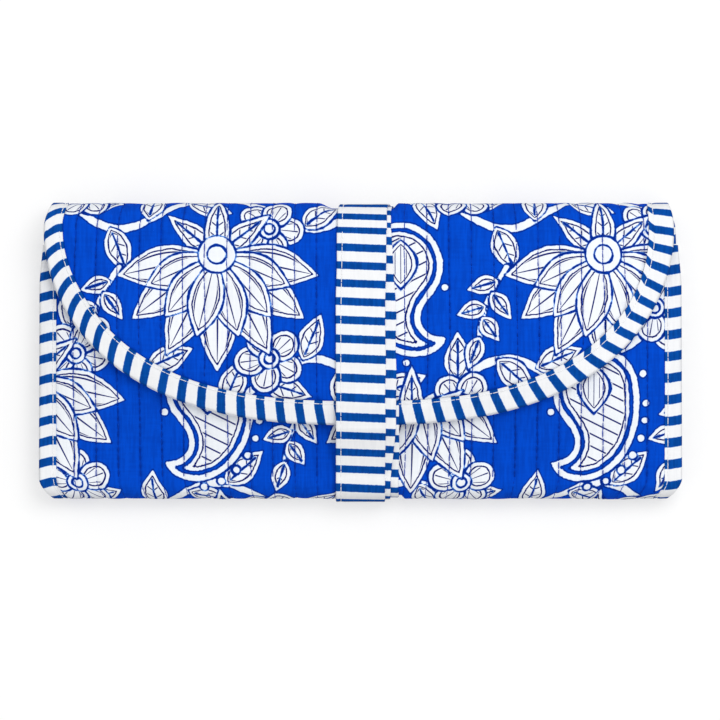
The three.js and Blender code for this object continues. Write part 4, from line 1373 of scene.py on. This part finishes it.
front_stations, front_runs = [], []
for turn in range(3):
    start = FLAP_TIP + TIE_SEAM if turn == 0 else TOP_Y
    stations = np.linspace(BOTTOM_Y, start, int((start - BOTTOM_Y) / 0.8))
    crowding = 1 + TOP_CROWDING[turn] * np.clip((stations - FLAP_TIP) / FLAP_DEPTH, 0, 1)
    crowding += BOTTOM_CROWDING[turn] * np.clip((FLAP_TIP - stations) / (FLAP_TIP - BOTTOM_Y), 0, 1)
    steps = np.hypot(np.diff(stations), np.diff(tie_height(turn, stations)))
    climbed = np.concatenate([[0], np.cumsum(steps * (crowding[1:] + crowding[:-1]) / 2)])
    front_stations.append(stations)
    front_runs.append(climbed - np.interp(STRIPE_AT[turn], stations, climbed))

for turn, turn_name in enumerate(("inner", "middle", "outer")):
    stations, front_run = front_stations[turn], front_runs[turn]
    drifting = np.clip((FLAP_TIP - stations) / (FLAP_TIP - BOTTOM_Y), 0, 1)
    seat = QUILT + TIE_SEAT + turn * TIE_PITCH

    def put_front(x, y, height):
        return points(x, y, tie_height(turn, y) + TIE_SEAT + height)

    def put_bottom(x, angle, height):
        return on_bottom_fold(x, angle, seat - fold_pinch(angle, PINCH_BOTTOM) + height)

    def put_back(x, y, height):
        return on_back(x, y, seat - PINCH_BACK + height)

    def put_top(x, angle, height):
        return on_top_fold(x, angle, seat - fold_pinch(angle, PINCH_TOP) + height)

    rising = np.clip(1 - (TOP_Y - stations) / TIE_TOP_REACH, 0, 1)
    shift = TIE_SHIFT[turn] - TIE_DRIFT[turn] * drifting - TIE_TOP_DRIFT[turn] * rising
    pieces = [("front", stations, put_front, front_run, shift, f"tie_front_{turn_name}", "flap")]

    angles = np.linspace(FLAT_TURN, -FLAT_TURN, 40)
    bottom_run = front_run[0] - (FLAT_TURN - angles) * (BOTTOM_Z + 1) * (1 + BOTTOM_CROWDING[turn])
    shift = np.full(len(angles), TIE_SHIFT[turn] - TIE_DRIFT[turn])
    pieces.append(("bottom", angles, put_bottom, bottom_run, shift, f"tie_bottom_{turn_name}", BOTTOM_BEND))

    top_angles = np.linspace(-FLAT_TURN, FLAT_TURN, 44)
    over_top = (top_angles + FLAT_TURN) * (TOP_Z - 1) + TOP_CRUSH * np.maximum(top_angles, 0) ** 4
    back_length = TIE_TAIL if turn == 2 else TOP_Y - BOTTOM_Y
    back_stations = np.linspace(BOTTOM_Y, BOTTOM_Y + back_length, 100)
    stretch = 0.0
    if turn < 2:
        end = bottom_run[-1] - back_length - over_top[-1] - front_runs[turn + 1][-1]
        stretch = ((end + STRIPE_PITCH / 2) % STRIPE_PITCH - STRIPE_PITCH / 2) / back_length
    back_run = bottom_run[-1] - (back_stations - BOTTOM_Y) * (1 + stretch)
    shift = TIE_SHIFT[turn] - TIE_DRIFT[turn] * (1 - (back_stations - BOTTOM_Y) / (TOP_Y - BOTTOM_Y))
    node = "tie_tail" if turn == 2 else f"tie_back_{turn_name}"
    pieces.append(("back", back_stations, put_back, back_run, shift, node, "back"))
    if turn < 2:
        next_shift = TIE_SHIFT[turn + 1] - TIE_TOP_DRIFT[turn + 1]
        shift = TIE_SHIFT[turn] + (next_shift - TIE_SHIFT[turn]) * ease(1.25 * (top_angles / math.pi + 0.5))
        top_run = back_run[-1] - over_top
        pieces.append(("top", top_angles, put_top, top_run, shift, f"tie_top_{turn_name}", TOP_BEND))
    for part, at, put, runs, shift, node, body in pieces:
        strand, thread = tie_strand(f"tie_{turn_name}_{part}", at, put, runs, turn, shift)
        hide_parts(node)
        hold(strand, body)
        hold(thread, body)


# Studio
# The roll lies flat on a white table, seen from straight above, under even light with a wide lamp above its
# upper right that leaves a faint shadow at its lower and left edges.
PHOTO_SCALE = 0.395
PHOTO_PIXELS = 720
PHOTO_ORIGIN = (360.5, 352.5)
CAMERA_HEIGHT = 1.6
SEEN_HEIGHT = 0.014
SENSOR = 36.0
TABLE_GREY = (0.45, 0.45, 0.45, 1)
TABLE_GLOW = 0.55
SKY = 0.73
LAMP_POWER = 8.0
LAMP_SIZE = 0.7
LAMP_PLACE = (0.34, 0.48, 1.24)

bpy.ops.mesh.primitive_plane_add(size=4, location=(0, 0, 0))
table = bpy.context.object
table.name = "white_table"
table_white, tree = new_material("table_white")
for node in list(tree.nodes):
    tree.nodes.remove(node)
ray = add_node(tree, "ShaderNodeLightPath").outputs
seen = reckon(tree, "MAXIMUM", ray["Is Camera Ray"], ray["Is Glossy Ray"])
seen = reckon(tree, "MAXIMUM", seen, ray["Is Transmission Ray"])
lit = add_node(tree, "ShaderNodeBsdfDiffuse", {"Color": TABLE_GREY}).outputs[0]
strength = reckon(tree, "MULTIPLY", seen, TABLE_GLOW)
glow = add_node(tree, "ShaderNodeEmission", {"Strength": strength}).outputs[0]
both = add_node(tree, "ShaderNodeAddShader", {0: lit, 1: glow}).outputs[0]
add_node(tree, "ShaderNodeOutputMaterial", {"Surface": both})
table.data.materials.append(table_white)

world = bpy.data.worlds.new("studio")
bpy.context.scene.world = world
world.use_nodes = True
world.node_tree.nodes["Background"].inputs["Color"].default_value = (1, 1, 1, 1)
world.node_tree.nodes["Background"].inputs["Strength"].default_value = SKY

lamp = bpy.data.objects.new("window", bpy.data.lights.new("window", "AREA"))
lamp.data.size = LAMP_SIZE
lamp.data.energy = LAMP_POWER
lamp.location = LAMP_PLACE
lamp.rotation_euler = (-lamp.location).to_track_quat("-Z", "Y").to_euler()
bpy.context.scene.collection.objects.link(lamp)

camera = bpy.data.objects.new("camera", bpy.data.cameras.new("camera"))
frame_side = PHOTO_PIXELS * PHOTO_SCALE * MM
camera.data.sensor_width = SENSOR
camera.data.lens = SENSOR * (CAMERA_HEIGHT - SEEN_HEIGHT) / frame_side
centre_x = (PHOTO_PIXELS / 2 - PHOTO_ORIGIN[0]) * PHOTO_SCALE * MM
centre_y = (PHOTO_ORIGIN[1] - PHOTO_PIXELS / 2) * PHOTO_SCALE * MM
camera.location = (centre_x, centre_y, CAMERA_HEIGHT)
bpy.context.scene.collection.objects.link(camera)
bpy.context.scene.camera = camera
bpy.context.scene.view_settings.view_transform = "Standard"
